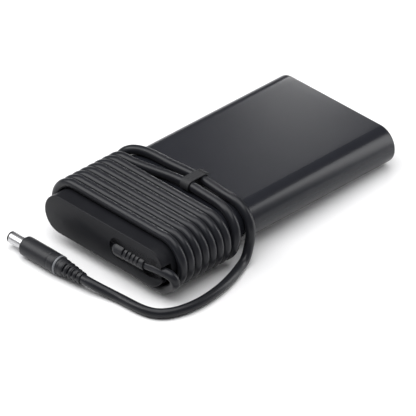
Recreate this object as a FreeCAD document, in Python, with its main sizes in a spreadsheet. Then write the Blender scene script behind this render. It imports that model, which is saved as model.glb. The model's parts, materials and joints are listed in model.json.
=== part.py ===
import FreeCAD, Part
import Sketcher
import math
import os

# Power adapter: a flat rounded housing full of electronics, its output cable wound round it
# and strapped, and a barrel plug lying on the table in front.
# Millimetres, z up. The housing runs along y: cable exit in front (-y), mains inlet at the
# rear (+y). It stands on its rear lower edge, tilted up in front by the cable below it.
# The origin is on the table top, below the middle of the whole outline.
#
# Housing frame, used for every piece in or on the housing: underside z = 0, front face
# y = -length/2, rear face y = +length/2. TILT carries it onto the table.

Vector = FreeCAD.Vector
Placement = FreeCAD.Placement
Rotation = FreeCAD.Rotation
X_AXIS, Y_AXIS, Z_AXIS = Vector(1, 0, 0), Vector(0, 1, 0), Vector(0, 0, 1)

doc = FreeCAD.newDocument("power_adapter")

# ---------------------------------------------------------------- driving sizes
SIZES = dict(
    # housing and its end caps
    housing_length=200.0, housing_width=100.0, housing_height=25.4,
    wall=2.2, tilt=2.56, edge_round=0.8,
    front_cap_length=16.0, spigot_length=3.0, rear_cap_thick=3.0,
    pocket_left=5.6, pocket_right=39.0, pocket_low=7.0, pocket_high=19.6,
    pocket_depth=11.0, channel_low=10.0, channel_high=17.4, channel_depth=7.0,
    # cable on the housing and its strain relief
    cable_radius=3.0, cable_gap=0.12, turn_pitch=6.14, first_turn=87.0,
    exit_front=98.0, exit_high=12.0,
    boot_start=7.6, boot_length=26.5, boot_radius=4.6, boot_collar=5.4,
    boot_slot=1.1, boot_slot_pitch=3.1,
    # mains inlet
    socket_width=27.4, socket_height=19.6, socket_depth=21.0, socket_cavity_depth=17.0,
    blade_width=4.0, blade_thick=2.0, blade_length=24.0,
    # circuit board and its components
    board_length=168.0, board_width=84.0, board_thick=1.6, board_height=4.6,
    board_hole=1.6, spreader_thick=0.6, sheet_thick=0.4,
    bulk_radius=7.9, bulk_length=42.0, out_cap_radius=5.0, out_cap_length=14.0,
    choke_outer=6.6, choke_inner=3.6, choke_thick=6.0, choke_wire=1.1,
    pfc_outer=12.0, pfc_inner=6.0, pfc_thick=8.0, pfc_wire=1.5,
    core_length=36.0, core_width=34.0, core_height=15.4, core_leg=6.0, core_centre=5.5,
    sink_thick=2.0, sink_height=15.6, sink_length=46.0, sink_foot=6.0,
    fet_width=10.2, fet_height=15.0, fet_thick=4.4,
    # strap
    strap_width=7.0, strap_thick=0.7, strap_left=5.2, strap_high=29.8, strap_inner=3.25,
    tongue_length=3.2, tongue_root=0.35, tongue_slope=30.0,
    # plug
    plug_axis_front=119.7, plug_axis_high=6.3, plug_tip_back=58.2,
    barrel_radius=3.7, barrel_bore=2.55, barrel_exposed=12.0, barrel_buried=8.0,
    sleeve_radius=3.2, grip_radius=6.2, grip_length=29.0, ring_width=1.6, ring_radius=6.3,
    nose_length=1.1, tail_boot_length=18.8, tail_boot_radius=5.4, tail_boot_end=3.75,
    pin_radius=0.3,
    # joints of the loose cable, and the origin in the housing's plan
    joint_gap=0.06, joint_back=1.7, origin_x=5.34, origin_y=-12.465,
)
sheet = doc.addObject("Spreadsheet::Sheet", "Sizes")
for row, (size_name, size_value) in enumerate(SIZES.items(), 1):
    sheet.set("A%d" % row, size_name)
    sheet.set("B%d" % row, str(size_value))
    sheet.setAlias("B%d" % row, size_name)
doc.recompute()


class Bound:
    """A number together with the spreadsheet expression that gives it."""
    def __init__(self, value, text):
        self.value = value
        self.text = text

    def __add__(self, other):
        other = bound(other)
        return Bound(self.value + other.value, "(%s + %s)" % (self.text, other.text))
    __radd__ = __add__

    def __sub__(self, other):
        other = bound(other)
        return Bound(self.value - other.value, "(%s - (%s))" % (self.text, other.text))

    def __mul__(self, other):
        other = bound(other)
        return Bound(self.value * other.value, "(%s * %s)" % (self.text, other.text))
    __rmul__ = __mul__

    def __truediv__(self, other):
        other = bound(other)
        return Bound(self.value / other.value, "(%s / %s)" % (self.text, other.text))

    def __neg__(self):
        return Bound(-self.value, "(0 - (%s))" % self.text)


def bound(number):
    return number if isinstance(number, Bound) else Bound(float(number), repr(float(number)))


def bind(obj, prop, value):
    """Let the spreadsheet drive a property, where the value depends on it."""
    if "Sizes" in value.text:
        obj.setExpression(prop, value.text)


class Names:
    def __init__(self, values):
        self.__dict__.update(values)


mm = Names(SIZES)                                   # plain numbers
size = Names({name: Bound(value, "Sizes." + name) for name, value in SIZES.items()})

# ---------------------------------------------------------------- shared places
REAR_Y = mm.housing_length / 2
HALF_LENGTH = size.housing_length / 2
SIDE_RADIUS = size.housing_height / 2               # also the height of the middle
SIDE_CENTRE = size.housing_width / 2 - SIDE_RADIUS  # centre of the rounded side
SLEEVE_FRONT = HALF_LENGTH - size.front_cap_length  # distance in front of the middle
CAP_RADIUS = SIDE_RADIUS - size.wall - 0.02         # caps fit into the sleeve
HOLLOW_RADIUS = SIDE_RADIUS - size.wall - 1.6
BOARD_TOP = mm.board_height + mm.board_thick
INLET_PINS = [(-7.0, 10.7), (7.0, 10.7), (0.0, 14.7)]        # x, z
OUTPUT_WIRE_X = [11.0 + 2.6 * k for k in range(3)]

LEVEL = Placement()
TILT = Placement(Vector(0, 0, 0), Rotation(X_AXIS, -mm.tilt), Vector(0, REAR_Y, 0))
TO_ORIGIN = Placement(Vector(-mm.origin_x, -mm.origin_y, 0), Rotation())

parts = []


def at(x, y, z, axis=None, angle=0.0):
    rotation = Rotation(axis, angle) if axis is not None else Rotation()
    return Placement(Vector(x, y, z), rotation)


def keep(obj, label, placement=TILT):
    """Name a finished piece, put it in place and list it for export."""
    obj.Label = label
    obj.Placement = TO_ORIGIN.multiply(placement)
    parts.append(obj)


# ---------------------------------------------------------------- sketches
def sketch(body, plane, offset=0):
    """Sketch on an origin plane. An XZ_Plane offset counts towards -y."""
    sk = body.newObject("Sketcher::SketchObject", "Sketch")
    support = next(f for f in body.Origin.OriginFeatures if f.Role == plane)
    sk.AttachmentSupport = [(support, "")]
    sk.MapMode = "FlatFace"
    offset = bound(offset)
    sk.AttachmentOffset = at(0, 0, offset.value)
    bind(sk, "AttachmentOffset.Base.z", offset)
    return sk


def constrain(sk, kind, where, value):
    value = bound(value)
    index = sk.addConstraint(Sketcher.Constraint(kind, *where, value.value))
    bind(sk, "Constraints[%d]" % index, value)


def locate(sk, geometry, point, x, y):
    constrain(sk, "DistanceX", (-1, 1, geometry, point), x)
    constrain(sk, "DistanceY", (-1, 1, geometry, point), y)


def poly(sk, points):
    points = [(bound(x), bound(y)) for x, y in points]
    count = len(points)
    first = sk.GeometryCount
    corners = [Vector(x.value, y.value, 0) for x, y in points]
    for i in range(count):
        sk.addGeometry(Part.LineSegment(corners[i], corners[(i + 1) % count]), False)
    for i in range(count):
        following = first + (i + 1) % count
        sk.addConstraint(Sketcher.Constraint("Coincident", first + i, 2, following, 1))
    for i, (x, y) in enumerate(points):
        locate(sk, first + i, 1, x, y)


def rectangle(x0, y0, x1, y1):
    return [(x0, y0), (x1, y0), (x1, y1), (x0, y1)]


def disc(sk, x, y, radius):
    x, y, radius = bound(x), bound(y), bound(radius)
    circle = Part.Circle(Vector(x.value, y.value, 0), Z_AXIS, radius.value)
    geometry = sk.addGeometry(circle, False)
    locate(sk, geometry, 3, x, y)
    constrain(sk, "Radius", (geometry,), radius)


def stadium(sk, x0, x1, y, radius):
    """Obround from arc centre x0 to arc centre x1 at height y."""
    x0, x1, y, radius = bound(x0), bound(x1), bound(y), bound(radius)
    low, high = y.value - radius.value, y.value + radius.value
    first = sk.GeometryCount

    def end_arc(x, start, stop):
        circle = Part.Circle(Vector(x.value, y.value, 0), Z_AXIS, radius.value)
        sk.addGeometry(Part.ArcOfCircle(circle, start, stop), False)

    def line(start, stop, height):
        ends = Vector(start.value, height, 0), Vector(stop.value, height, 0)
        sk.addGeometry(Part.LineSegment(*ends), False)

    end_arc(x0, math.pi / 2, 3 * math.pi / 2)
    line(x0, x1, low)
    end_arc(x1, -math.pi / 2, math.pi / 2)
    line(x1, x0, high)
    for i in range(4):
        following = first + (i + 1) % 4
        sk.addConstraint(Sketcher.Constraint("Tangent", first + i, 2, following, 1))
    locate(sk, first, 3, x0, y)
    constrain(sk, "DistanceX", (-1, 1, first + 2, 3), x1)
    constrain(sk, "Radius", (first,), radius)
    sk.addConstraint(Sketcher.Constraint("Equal", first, first + 2))


# ---------------------------------------------------------------- body features
def new_body(label):
    return doc.addObject("PartDesign::Body", label + "_body")


def extrude(body, kind, sk, length, reverse):
    feature = body.newObject("PartDesign::" + kind, kind)
    feature.Profile = sk
    length = bound(length)
    feature.Length = length.value
    bind(feature, "Length", length)
    feature.Reversed = reverse
    sk.Visibility = False
    return feature


def pad(body, sk, length, reverse=False):
    """Add along the sketch's normal, or against it if reversed."""
    return extrude(body, "Pad", sk, length, reverse)


def pocket(body, sk, length, reverse=False):
    """Cut against the sketch's normal, or along it if reversed."""
    return extrude(body, "Pocket", sk, length, reverse)


def revolve(body, sk, kind="Revolution"):
    feature = body.newObject("PartDesign::" + kind, "Turned")
    feature.Profile = sk
    feature.ReferenceAxis = (sk, ["V_Axis"])
    feature.Angle = 360.0


def round_edges(body, feature, radius, chosen):
    doc.recompute()
    edges = enumerate(feature.Shape.Edges, 1)
    names = ["Edge%d" % i for i, edge in edges if chosen(edge.BoundBox)]
    fillet = body.newObject("PartDesign::Fillet", "Fillet")
    fillet.Base = (feature, names)
    radius = bound(radius)
    fillet.Radius = radius.value
    bind(fillet, "Radius", radius)


def block(label, plane, offset, outline, length, reverse=False):
    """A body whose first feature is one padded outline."""
    body = new_body(label)
    sk = sketch(body, plane, offset)
    poly(sk, outline)
    return body, pad(body, sk, length, reverse)


def turned(label, profile, grooves=(), plane="XY_Plane"):
    """A profile of (radius, distance along the axis), turned, with turned grooves."""
    body = new_body(label)
    sk = sketch(body, plane)
    poly(sk, profile)
    revolve(body, sk)
    if grooves:
        sk = sketch(body, plane)
        for groove in grooves:
            poly(sk, groove)
        revolve(body, sk, "Groove")
    return body


# ---------------------------------------------------------------- primitives and booleans
def primitive(kind, name, placement, **sizes):
    obj = doc.addObject("Part::" + kind, name)
    for prop, value in sizes.items():
        value = bound(value)
        setattr(obj, prop, value.value)
        bind(obj, prop, value)
    obj.Placement = placement
    return obj


def box(name, length, width, height, corner):
    return primitive("Box", name, at(*corner), Length=length, Width=width, Height=height)


def cylinder(name, radius, height, placement):
    return primitive("Cylinder", name, placement, Radius=radius, Height=height)


def sphere(name, radius, centre):
    return primitive("Sphere", name, Placement(centre, Rotation()), Radius=radius)


def fuse(name, objects):
    obj = doc.addObject("Part::MultiFuse", name)
    obj.Shapes = objects
    return obj


def cut(name, base, tool):
    obj = doc.addObject("Part::Cut", name)
    obj.Base = base
    obj.Tool = tool
    return obj


def group(name, objects):
    obj = doc.addObject("Part::Compound", name)
    obj.Links = objects
    return obj


# ---------------------------------------------------------------- housing
def housing_sleeve():
    body = new_body("housing_sleeve")
    sk = sketch(body, "XZ_Plane", SLEEVE_FRONT)
    stadium(sk, -SIDE_CENTRE, SIDE_CENTRE, SIDE_RADIUS, SIDE_RADIUS)
    stadium(sk, -SIDE_CENTRE, SIDE_CENTRE, SIDE_RADIUS, SIDE_RADIUS - size.wall)
    sleeve = pad(body, sk, size.housing_length - size.front_cap_length, True)
    half_width = mm.housing_width / 2

    def outer_rear(bounds):
        at_rear = bounds.YMin > REAR_Y - 0.01 and bounds.ZLength + bounds.XLength > 20
        at_side = bounds.XMax > half_width - 0.1 or bounds.XMin < 0.1 - half_width
        at_face = bounds.ZMin > mm.housing_height - 0.1 or bounds.ZMax < 0.1
        return at_rear and (at_side or at_face)

    round_edges(body, sleeve, size.edge_round, outer_rear)
    keep(body, "housing_sleeve")


def front_end_cap():
    body = new_body("front_end_cap")
    sk = sketch(body, "XZ_Plane", HALF_LENGTH)
    stadium(sk, -SIDE_CENTRE, SIDE_CENTRE, SIDE_RADIUS, SIDE_RADIUS)
    cap = pad(body, sk, size.front_cap_length, True)
    round_edges(body, cap, size.edge_round, lambda bounds: bounds.YMax < 0.01 - REAR_Y)

    # spigot that enters the sleeve
    sk = sketch(body, "XZ_Plane", SLEEVE_FRONT)
    stadium(sk, -SIDE_CENTRE, SIDE_CENTRE, SIDE_RADIUS, CAP_RADIUS)
    stadium(sk, -SIDE_CENTRE, SIDE_CENTRE, SIDE_RADIUS, HOLLOW_RADIUS)
    pad(body, sk, size.spigot_length, True)

    # recess the strain relief lies in
    low, high = size.pocket_low, size.pocket_high
    radius = (high - low) / 2
    sk = sketch(body, "XZ_Plane", HALF_LENGTH)
    stadium(sk, size.pocket_left + radius, size.pocket_right - radius, low + radius, radius)
    pocket(body, sk, size.pocket_depth)

    # channel that leads the cable out to the side
    sk = sketch(body, "XZ_Plane", HALF_LENGTH)
    poly(sk, [
        (30.0, low + 0.05), (39.6, low + 0.05), (42.8, size.channel_low),
        (51.0, size.channel_low - 1.1), (51.0, size.channel_high + 0.2),
        (43.6, size.channel_high), (40.4, high - 0.05), (30.0, high - 0.05)])
    pocket(body, sk, size.channel_depth)

    # shallow hollow behind the whole face, deeper on the -x side of the recess
    for right, depth in ((SIDE_CENTRE, 2.6), (-6.0, 13.0)):
        sk = sketch(body, "XZ_Plane", SLEEVE_FRONT)
        stadium(sk, -SIDE_CENTRE, right, SIDE_RADIUS, HOLLOW_RADIUS)
        pocket(body, sk, depth, True)

    # holes that pass the conductors from the board to the strain relief
    sk = sketch(body, "XZ_Plane", SLEEVE_FRONT)
    for x in OUTPUT_WIRE_X:
        disc(sk, x, size.exit_high, 1.0)
    pocket(body, sk, 6.0, True)
    keep(body, "front_end_cap")


def inlet_outline(inset, corner):
    """Inlet section with its two upper corners cut off."""
    half_width, half_height = size.socket_width / 2, size.socket_height / 2
    side = half_width - inset
    bottom = SIDE_RADIUS - half_height + inset
    top = SIDE_RADIUS + half_height - inset
    corner_x = half_width - corner
    corner_z = SIDE_RADIUS + half_height - corner
    return [(-side, bottom), (side, bottom), (side, corner_z),
            (corner_x, top), (-corner_x, top), (-side, corner_z)]


def rear_end_cap():
    body = new_body("rear_end_cap")
    inner_face = -HALF_LENGTH + size.rear_cap_thick
    sk = sketch(body, "XZ_Plane", inner_face)
    stadium(sk, -SIDE_CENTRE, SIDE_CENTRE, SIDE_RADIUS, CAP_RADIUS)
    pad(body, sk, size.rear_cap_thick, True)
    sk = sketch(body, "XZ_Plane", inner_face + 1.0)
    poly(sk, inlet_outline(0.0, 4.5))
    pocket(body, sk, 6.0)
    keep(body, "rear_end_cap")


# ---------------------------------------------------------------- mains inlet
PIN_INNER_Y = REAR_Y - 3.5 - mm.blade_length


def inlet_socket():
    socket_front = -HALF_LENGTH + size.socket_depth
    body, _ = block("inlet_socket", "XZ_Plane", socket_front, inlet_outline(0.05, 4.5),
                    size.socket_depth, True)
    sk = sketch(body, "XZ_Plane", -HALF_LENGTH + size.socket_cavity_depth)
    poly(sk, inlet_outline(1.6, 5.0))
    pocket(body, sk, 25.0)
    # slots the pins pass through
    sk = sketch(body, "XZ_Plane", socket_front)
    for x, z in INLET_PINS:
        half_x = size.blade_thick / 2 + 0.03
        half_z = size.blade_width / 2 + 0.03
        poly(sk, rectangle(x - half_x.value if False else -half_x + x, -half_z + z,
                           half_x + x, half_z + z))
    pocket(body, sk, 6.0)
    keep(body, "inlet_socket")


def inlet_pins():
    pins = []
    for k, (x, z) in enumerate(INLET_PINS):
        corner = (x - mm.blade_thick / 2, PIN_INNER_Y, z - mm.blade_width / 2)
        pins.append(box("blade%d" % k, size.blade_thick, size.blade_length,
                        size.blade_width, corner))
    keep(group("inlet_pins", pins), "inlet_pins")


def conductor(start, edges):
    """Round wire of radius 0.9 swept along edges that set off along y."""
    section = Part.Wire([Part.Circle(start, Y_AXIS, 0.9).toShape()])
    return Part.Wire(edges).makePipeShell([section], True, False)


def keep_conductors(label, conductors):
    obj = doc.addObject("Part::Feature", label)
    obj.Shape = Part.makeCompound(conductors)
    keep(obj, label)


def inlet_wires():
    """From the pins forwards, round a quarter bend and down to the board."""
    bend = 2.0
    down_y = REAR_Y - 35.5
    diagonal = bend * math.sin(math.pi / 4)
    conductors = []
    for x, z in INLET_PINS:
        start = Vector(x, PIN_INNER_Y - 0.1, z)
        bend_start = Vector(x, down_y + bend, z)
        bend_middle = Vector(x, down_y + bend - diagonal, z - bend + diagonal)
        bend_end = Vector(x, down_y, z - bend)
        foot = Vector(x, down_y, BOARD_TOP + 0.02)
        conductors.append(conductor(start, [
            Part.LineSegment(start, bend_start).toShape(),
            Part.Arc(bend_start, bend_middle, bend_end).toShape(),
            Part.LineSegment(bend_end, foot).toShape()]))
    keep_conductors("inlet_wires", conductors)


# ---------------------------------------------------------------- board and plates
def circuit_board():
    """Board with a wide notch in the middle of its rear edge."""
    side = size.board_width / 2
    front = -78.0
    rear = size.board_length + (front - 14.0)
    notch = size.board_length + (front - 24.0)
    notch_side = 19.0
    body, _ = block("circuit_board", "XY_Plane", size.board_height, [
        (-side, front), (side, front), (side, rear), (notch_side, rear),
        (notch_side, notch), (-notch_side, notch), (-notch_side, rear), (-side, rear),
    ], size.board_thick)
    sk = sketch(body, "XY_Plane", size.board_height)
    for x, y in ((-38, -73), (38, -73), (-38, 71), (38, 71)):
        disc(sk, x, y, size.board_hole)
    pocket(body, sk, 3.0, True)
    keep(body, "circuit_board")


def plates():
    """Heat spreader and insulation sheet below the board, heat spreader above it."""
    body, _ = block("lower_heat_spreader", "XY_Plane", size.wall + 0.15,
                    rectangle(-35.0, -76.0, 35.0, 62.0), size.spreader_thick)
    keep(body, "lower_heat_spreader")

    body, _ = block("insulation_sheet", "XY_Plane", size.wall + 0.2 + size.spreader_thick,
                    rectangle(-38.0, -77.5, 38.0, 64.0), size.sheet_thick)
    keep(body, "insulation_sheet")

    top = size.housing_height - size.wall - 0.15
    bottom = top - size.spreader_thick
    body, _ = block("upper_heat_spreader", "XZ_Plane", 77.0,
                    [(-36.0, top), (-36.0, bottom), (36.0, bottom), (36.0, top)], 140.0, True)
    keep(body, "upper_heat_spreader")


# ---------------------------------------------------------------- board components
def fuse_holder():
    """Ceramic tube along y with two end caps on short legs."""
    x, z = -35.5, BOARD_TOP + 3.4
    keep(fuse("fuse", [
        cylinder("fuse_tube", 2.4, 14.0, at(x, 41.0, z, X_AXIS, -90)),
        cylinder("fuse_cap_a", 2.7, 3.0, at(x, 38.2, z, X_AXIS, -90)),
        cylinder("fuse_cap_b", 2.7, 3.0, at(x, 54.8, z, X_AXIS, -90)),
        cylinder("fuse_leg_a", 0.4, 3.4, at(x, 39.7, BOARD_TOP)),
        cylinder("fuse_leg_b", 0.4, 3.4, at(x, 56.3, BOARD_TOP)),
    ]), "fuse")


def varistor():
    keep(fuse("varistor", [
        cylinder("varistor_disc", 5.5, 4.0, at(-26.0, 50.0, BOARD_TOP + 7.4, X_AXIS, 90)),
        cylinder("varistor_leg_a", 0.4, 4.0, at(-28.5, 48.0, BOARD_TOP)),
        cylinder("varistor_leg_b", 0.4, 4.0, at(-23.5, 48.0, BOARD_TOP)),
    ]), "varistor")


def box_capacitor(label, outline, height):
    """Block on the board with its upright edges rounded."""
    body, feature = block(label, "XY_Plane", BOARD_TOP, outline, height)
    round_edges(body, feature, 0.8, lambda bounds: bounds.ZLength > height - 1)
    keep(body, label)


def ring_winding(label, outer, inner, thick, wire, slots, slot_width, first_angle, placement):
    """Jacket of turns round a ring core, axis z, parted by radial slots."""
    gap = 0.05                  # clearance to the core
    through = thick + 2 * wire + 2
    jacket = cut(label + "_jacket",
                 cylinder(label + "_outside", outer + wire, thick + 2 * wire, LEVEL),
                 cylinder(label + "_bore", inner - wire, through, at(0, 0, -1)))
    inside_z = wire.value - gap
    room = cut(label + "_room",
               cylinder(label + "_room_outside", outer + gap, thick + 2 * gap,
                        at(0, 0, inside_z)),
               cylinder(label + "_room_bore", inner - gap, thick + 2 * gap + 2,
                        at(0, 0, inside_z - 1)))
    hollow = cut(label + "_hollow", jacket, room)
    cutters = []
    for n in range(slots):
        cutter = box(label + "_slot%d" % n, outer * 2, slot_width, through, (0, 0, 0))
        turn = at(0, 0, -1, Z_AXIS, first_angle + 360.0 / slots * n)
        cutter.Placement = turn.multiply(at(1.0, -slot_width / 2, 0))
        cutters.append(cutter)
    keep(cut(label, hollow, fuse(label + "_slots", cutters)), label, placement)


def emi_choke():
    """Ring core standing on the board, its axis along x."""
    centre = (0.0, 52.0, BOARD_TOP + 7.6)
    outer, inner = size.choke_outer - 0.3, size.choke_inner
    thick, wire = size.choke_thick, size.choke_wire
    core = turned("emi_choke_core", rectangle(inner, -thick / 2, outer, thick / 2))
    keep(core, "emi_choke_core", TILT.multiply(at(*centre, Z_AXIS, 90)))
    middle = at(0, 0, -(thick / 2 + wire).value)
    ring_winding("emi_choke_winding", outer, inner, thick, wire,
                 slots=2, slot_width=5.0, first_angle=90,
                 placement=TILT.multiply(at(*centre, Y_AXIS, 90)).multiply(middle))


def bridge_rectifier():
    """Flat package with four legs."""
    solids = [box("bridge_case", 24.0, 4.0, 12.0, (12.0, 33.0, BOARD_TOP + 2.6))]
    for k in range(4):
        corner = (14.4 + 6.0 * k, 34.6, BOARD_TOP)
        solids.append(box("bridge_leg%d" % k, 1.2, 0.8, 2.8, corner))
    keep(fuse("bridge_rectifier", solids), "bridge_rectifier")


def pfc_choke():
    """Ring core lying flat, its axis upright."""
    placement = TILT.multiply(at(-26.0, 22.0, BOARD_TOP + 0.3))
    outer, inner = size.pfc_outer, size.pfc_inner
    thick, wire = size.pfc_thick, size.pfc_wire
    core = turned("pfc_choke_core", rectangle(inner, wire, outer, wire + thick),
                  plane="XZ_Plane")
    keep(core, "pfc_choke_core", placement)
    ring_winding("pfc_choke_winding", outer, inner, thick, wire,
                 slots=16, slot_width=0.7, first_angle=0, placement=placement)


def bulk_capacitors():
    """Two cans lying across the board, each with a rolled groove near its -x end."""
    z = BOARD_TOP + 0.1 + mm.bulk_radius
    radius = size.bulk_radius
    cans = []
    for k, y in enumerate((-2.0, 16.0)):
        can = cylinder("bulk_can%d" % k, radius, size.bulk_length, at(-8.0, y, z, Y_AXIS, 90))
        outside = cylinder("bulk_ro%d" % k, radius + 1, 1.2, at(-4.0, y, z, Y_AXIS, 90))
        inside = cylinder("bulk_ri%d" % k, radius - 0.7, 3.0, at(-5.0, y, z, Y_AXIS, 90))
        groove = cut("bulk_ring%d" % k, outside, inside)
        cans.append(cut("bulk_rolled%d" % k, can, groove))
    keep(group("bulk_capacitors", cans), "bulk_capacitors")


PRIMARY_SINK = (-40.0, 3.0)         # x, rear y
SECONDARY_SINK = (37.6, -22.0)
TRANSISTOR_Y = [-8.0 - 15.0 * k for k in range(3)]      # from the heatsink's rear end


def heatsink(label, place, flip):
    """Upright sheet with its top folded to +x, or to -x if flipped."""
    thick, height, foot = size.sink_thick, size.sink_height, size.sink_foot
    if flip:
        outline = [(0, 0), (thick, 0), (thick, height), (-foot, height),
                   (-foot, height - thick), (0, height - thick)]
    else:
        outline = [(0, 0), (thick, 0), (thick, height - thick),
                   (thick + foot, height - thick), (thick + foot, height), (0, height)]
    body, _ = block(label, "XZ_Plane", 0, outline, size.sink_length)
    sk = sketch(body, "YZ_Plane")
    for y in TRANSISTOR_Y:
        disc(sk, y, 11.0, 1.6)
    pocket(body, sk, 30.0).Midplane = True
    keep(body, label, TILT.multiply(at(*place, BOARD_TOP)))


def transistors(label, x, rear_y):
    """Three cases in a row from x towards +x, each on three legs."""
    packages = []
    for k, along in enumerate(TRANSISTOR_Y):
        y = rear_y + along
        solids = [box(label + "_case%d" % k, size.fet_thick, size.fet_width,
                      size.fet_height - 6.0, (x, y - mm.fet_width / 2, BOARD_TOP + 3.2))]
        for leg in range(3):
            corner = (x + 1.9, y - 0.45 + 2.54 * (leg - 1), BOARD_TOP)
            solids.append(box(label + "_leg%d%d" % (k, leg), 0.5, 0.9, 3.4, corner))
        packages.append(fuse(label + "_t%d" % k, solids))
    keep(group(label, packages), label)


def transformer():
    """Ferrite core with a round centre leg, and the wound bobbin round that leg."""
    placement = TILT.multiply(at(-6.0, -30.0, BOARD_TOP + 0.2))
    plate = 2.6                 # core above and below the window
    half_width, half_length = size.core_width / 2, size.core_length / 2
    height = size.core_height
    body, _ = block("transformer_core", "XY_Plane", 0,
                    rectangle(-half_width, -half_length, half_width, half_length), height)
    sk = sketch(body, "XY_Plane", plate)
    window = half_width - size.core_leg / 1.5
    poly(sk, rectangle(-window, -half_length - 1.0, window, half_length + 1.0))
    disc(sk, 0, 0, size.core_centre)
    pocket(body, sk, height - 2 * plate, True)
    keep(body, "transformer_core", placement)

    inner = size.core_centre + 0.1
    winding, flange = inner + 6.0, inner + 6.8
    body = turned("transformer_winding", [
        (inner, 2.7), (flange, 2.7), (flange, 3.7), (winding, 3.7),
        (winding, height - 3.7), (flange, height - 3.7), (flange, height - 2.7),
        (inner, height - 2.7)], plane="XZ_Plane")
    keep(body, "transformer_winding", placement)


def output_capacitors():
    cans = [cylinder("out_can%d" % k, size.out_cap_radius, size.out_cap_length,
                     at(-10.0 + 11.0 * k, -62.0, BOARD_TOP)) for k in range(4)]
    keep(group("output_capacitors", cans), "output_capacitors")


def y_capacitor():
    keep(fuse("y_capacitor", [
        cylinder("y_disc", 4.0, 3.0, at(18.0, -44.0, BOARD_TOP + 6.0, Y_AXIS, 90)),
        cylinder("y_leg_a", 0.35, 3.0, at(19.5, -41.5, BOARD_TOP)),
        cylinder("y_leg_b", 0.35, 3.0, at(19.5, -46.5, BOARD_TOP)),
    ]), "y_capacitor")


def optocoupler():
    case = box("opto_case", 6.4, 4.6, 3.4, (26.0, -52.0, BOARD_TOP + 0.4))
    legs, risers = [], []
    for k in range(2):
        y = -51.3 + 2.54 * k
        legs.append(box("opto_leg%d" % k, 8.4, 0.6, 0.5, (25.0, y, BOARD_TOP)))
        risers.append(box("opto_riser%d" % k, 6.0, 0.6, 0.6, (26.2, y, BOARD_TOP + 0.2)))
    keep(fuse("optocoupler", [case] + legs + risers), "optocoupler")


def control_chips():
    chips = []
    for k, (x, y) in enumerate(((-30.0, -72.0), (-18.0, -72.0), (24.0, 22.0))):
        solids = [box("chip_case%d" % k, 5.0, 4.0, 1.5, (x, y, BOARD_TOP + 0.15))]
        for leg in range(4):
            corner = (x + 0.4 + 1.27 * leg, y - 1.0, BOARD_TOP)
            solids.append(box("chip_leg%d%d" % (k, leg), 0.4, 6.0, 0.25, corner))
        chips.append(fuse("chip%d" % k, solids))
    keep(group("control_chips", chips), "control_chips")


# ---------------------------------------------------------------- cable centre line
CLEARANCE = mm.cable_radius + mm.cable_gap      # centre line to housing
BEND_X = SIDE_CENTRE.value
MIDDLE_Z = mm.housing_height / 2
BEND_RADIUS = MIDDLE_Z + CLEARANCE
OVER_Z = mm.housing_height + CLEARANCE
UNDER_Z = -CLEARANCE
STRAP_Z = 29.72                                 # lifted where the strap holds it
EXIT_Y = -mm.exit_front
EXIT_Z = mm.exit_high
CABLE_START = Vector(mm.boot_start + mm.boot_length + 0.1, EXIT_Y, EXIT_Z)
FIRST_Y = -mm.first_turn
EIGHTH_Y = FIRST_Y + 7 * mm.turn_pitch
NINTH_Y = EIGHTH_Y + mm.turn_pitch + 0.5

# from the strain relief round the +x side to the underside: x, y behind the exit, z
LEAD_OUT = [
    (38.0, 0.0, 12.45), (42.3, 0.0, 13.2), (45.8, 0.1, 13.35), (51.2, 0.8, 13.1),
    (54.3, 1.8, 11.5), (55.25, 2.6, 8.6), (52.2, 3.7, 3.6), (46.4, 4.4, -1.1),
    (BEND_X, 4.7, UNDER_Z)]

# loose cable on the table, to the plug: x, y, height above the table
TAIL = [Vector(*point) for point in (
    (57.4, -41.4, 3.02), (59.9, -48.0, 3.02), (62.4, -56.0, 3.02), (64.6, -66.0, 3.02),
    (65.7, -76.0, 3.02), (65.8, -85.0, 3.02), (64.9, -92.4, 3.02), (63.2, -98.8, 3.02),
    (60.5, -104.6, 3.02), (57.0, -109.0, 3.02), (52.0, -112.2, 3.02), (46.6, -113.7, 3.02),
    (38.9, -114.5, 3.02), (28.7, -115.2, 3.1), (19.6, -116.9, 4.1), (12.0, -118.9, 5.65),
    (5.1, -119.7, 6.3))]
# ball joints of the tail: near the housing, at the corner, at the plug
HOUSING_JOINT, CORNER_JOINT, PLUG_JOINT = 1, 9, 16

# directions of travel
PLUS_X = (1, 0, 0)
MINUS_X = (-1, 0, 0)
LEAD_SLANT = (-30, 0.9, 0)
DOWN_SIDE = (0, -1.2, -6)
TO_TABLE = (1.2, -4, -9)


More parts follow.
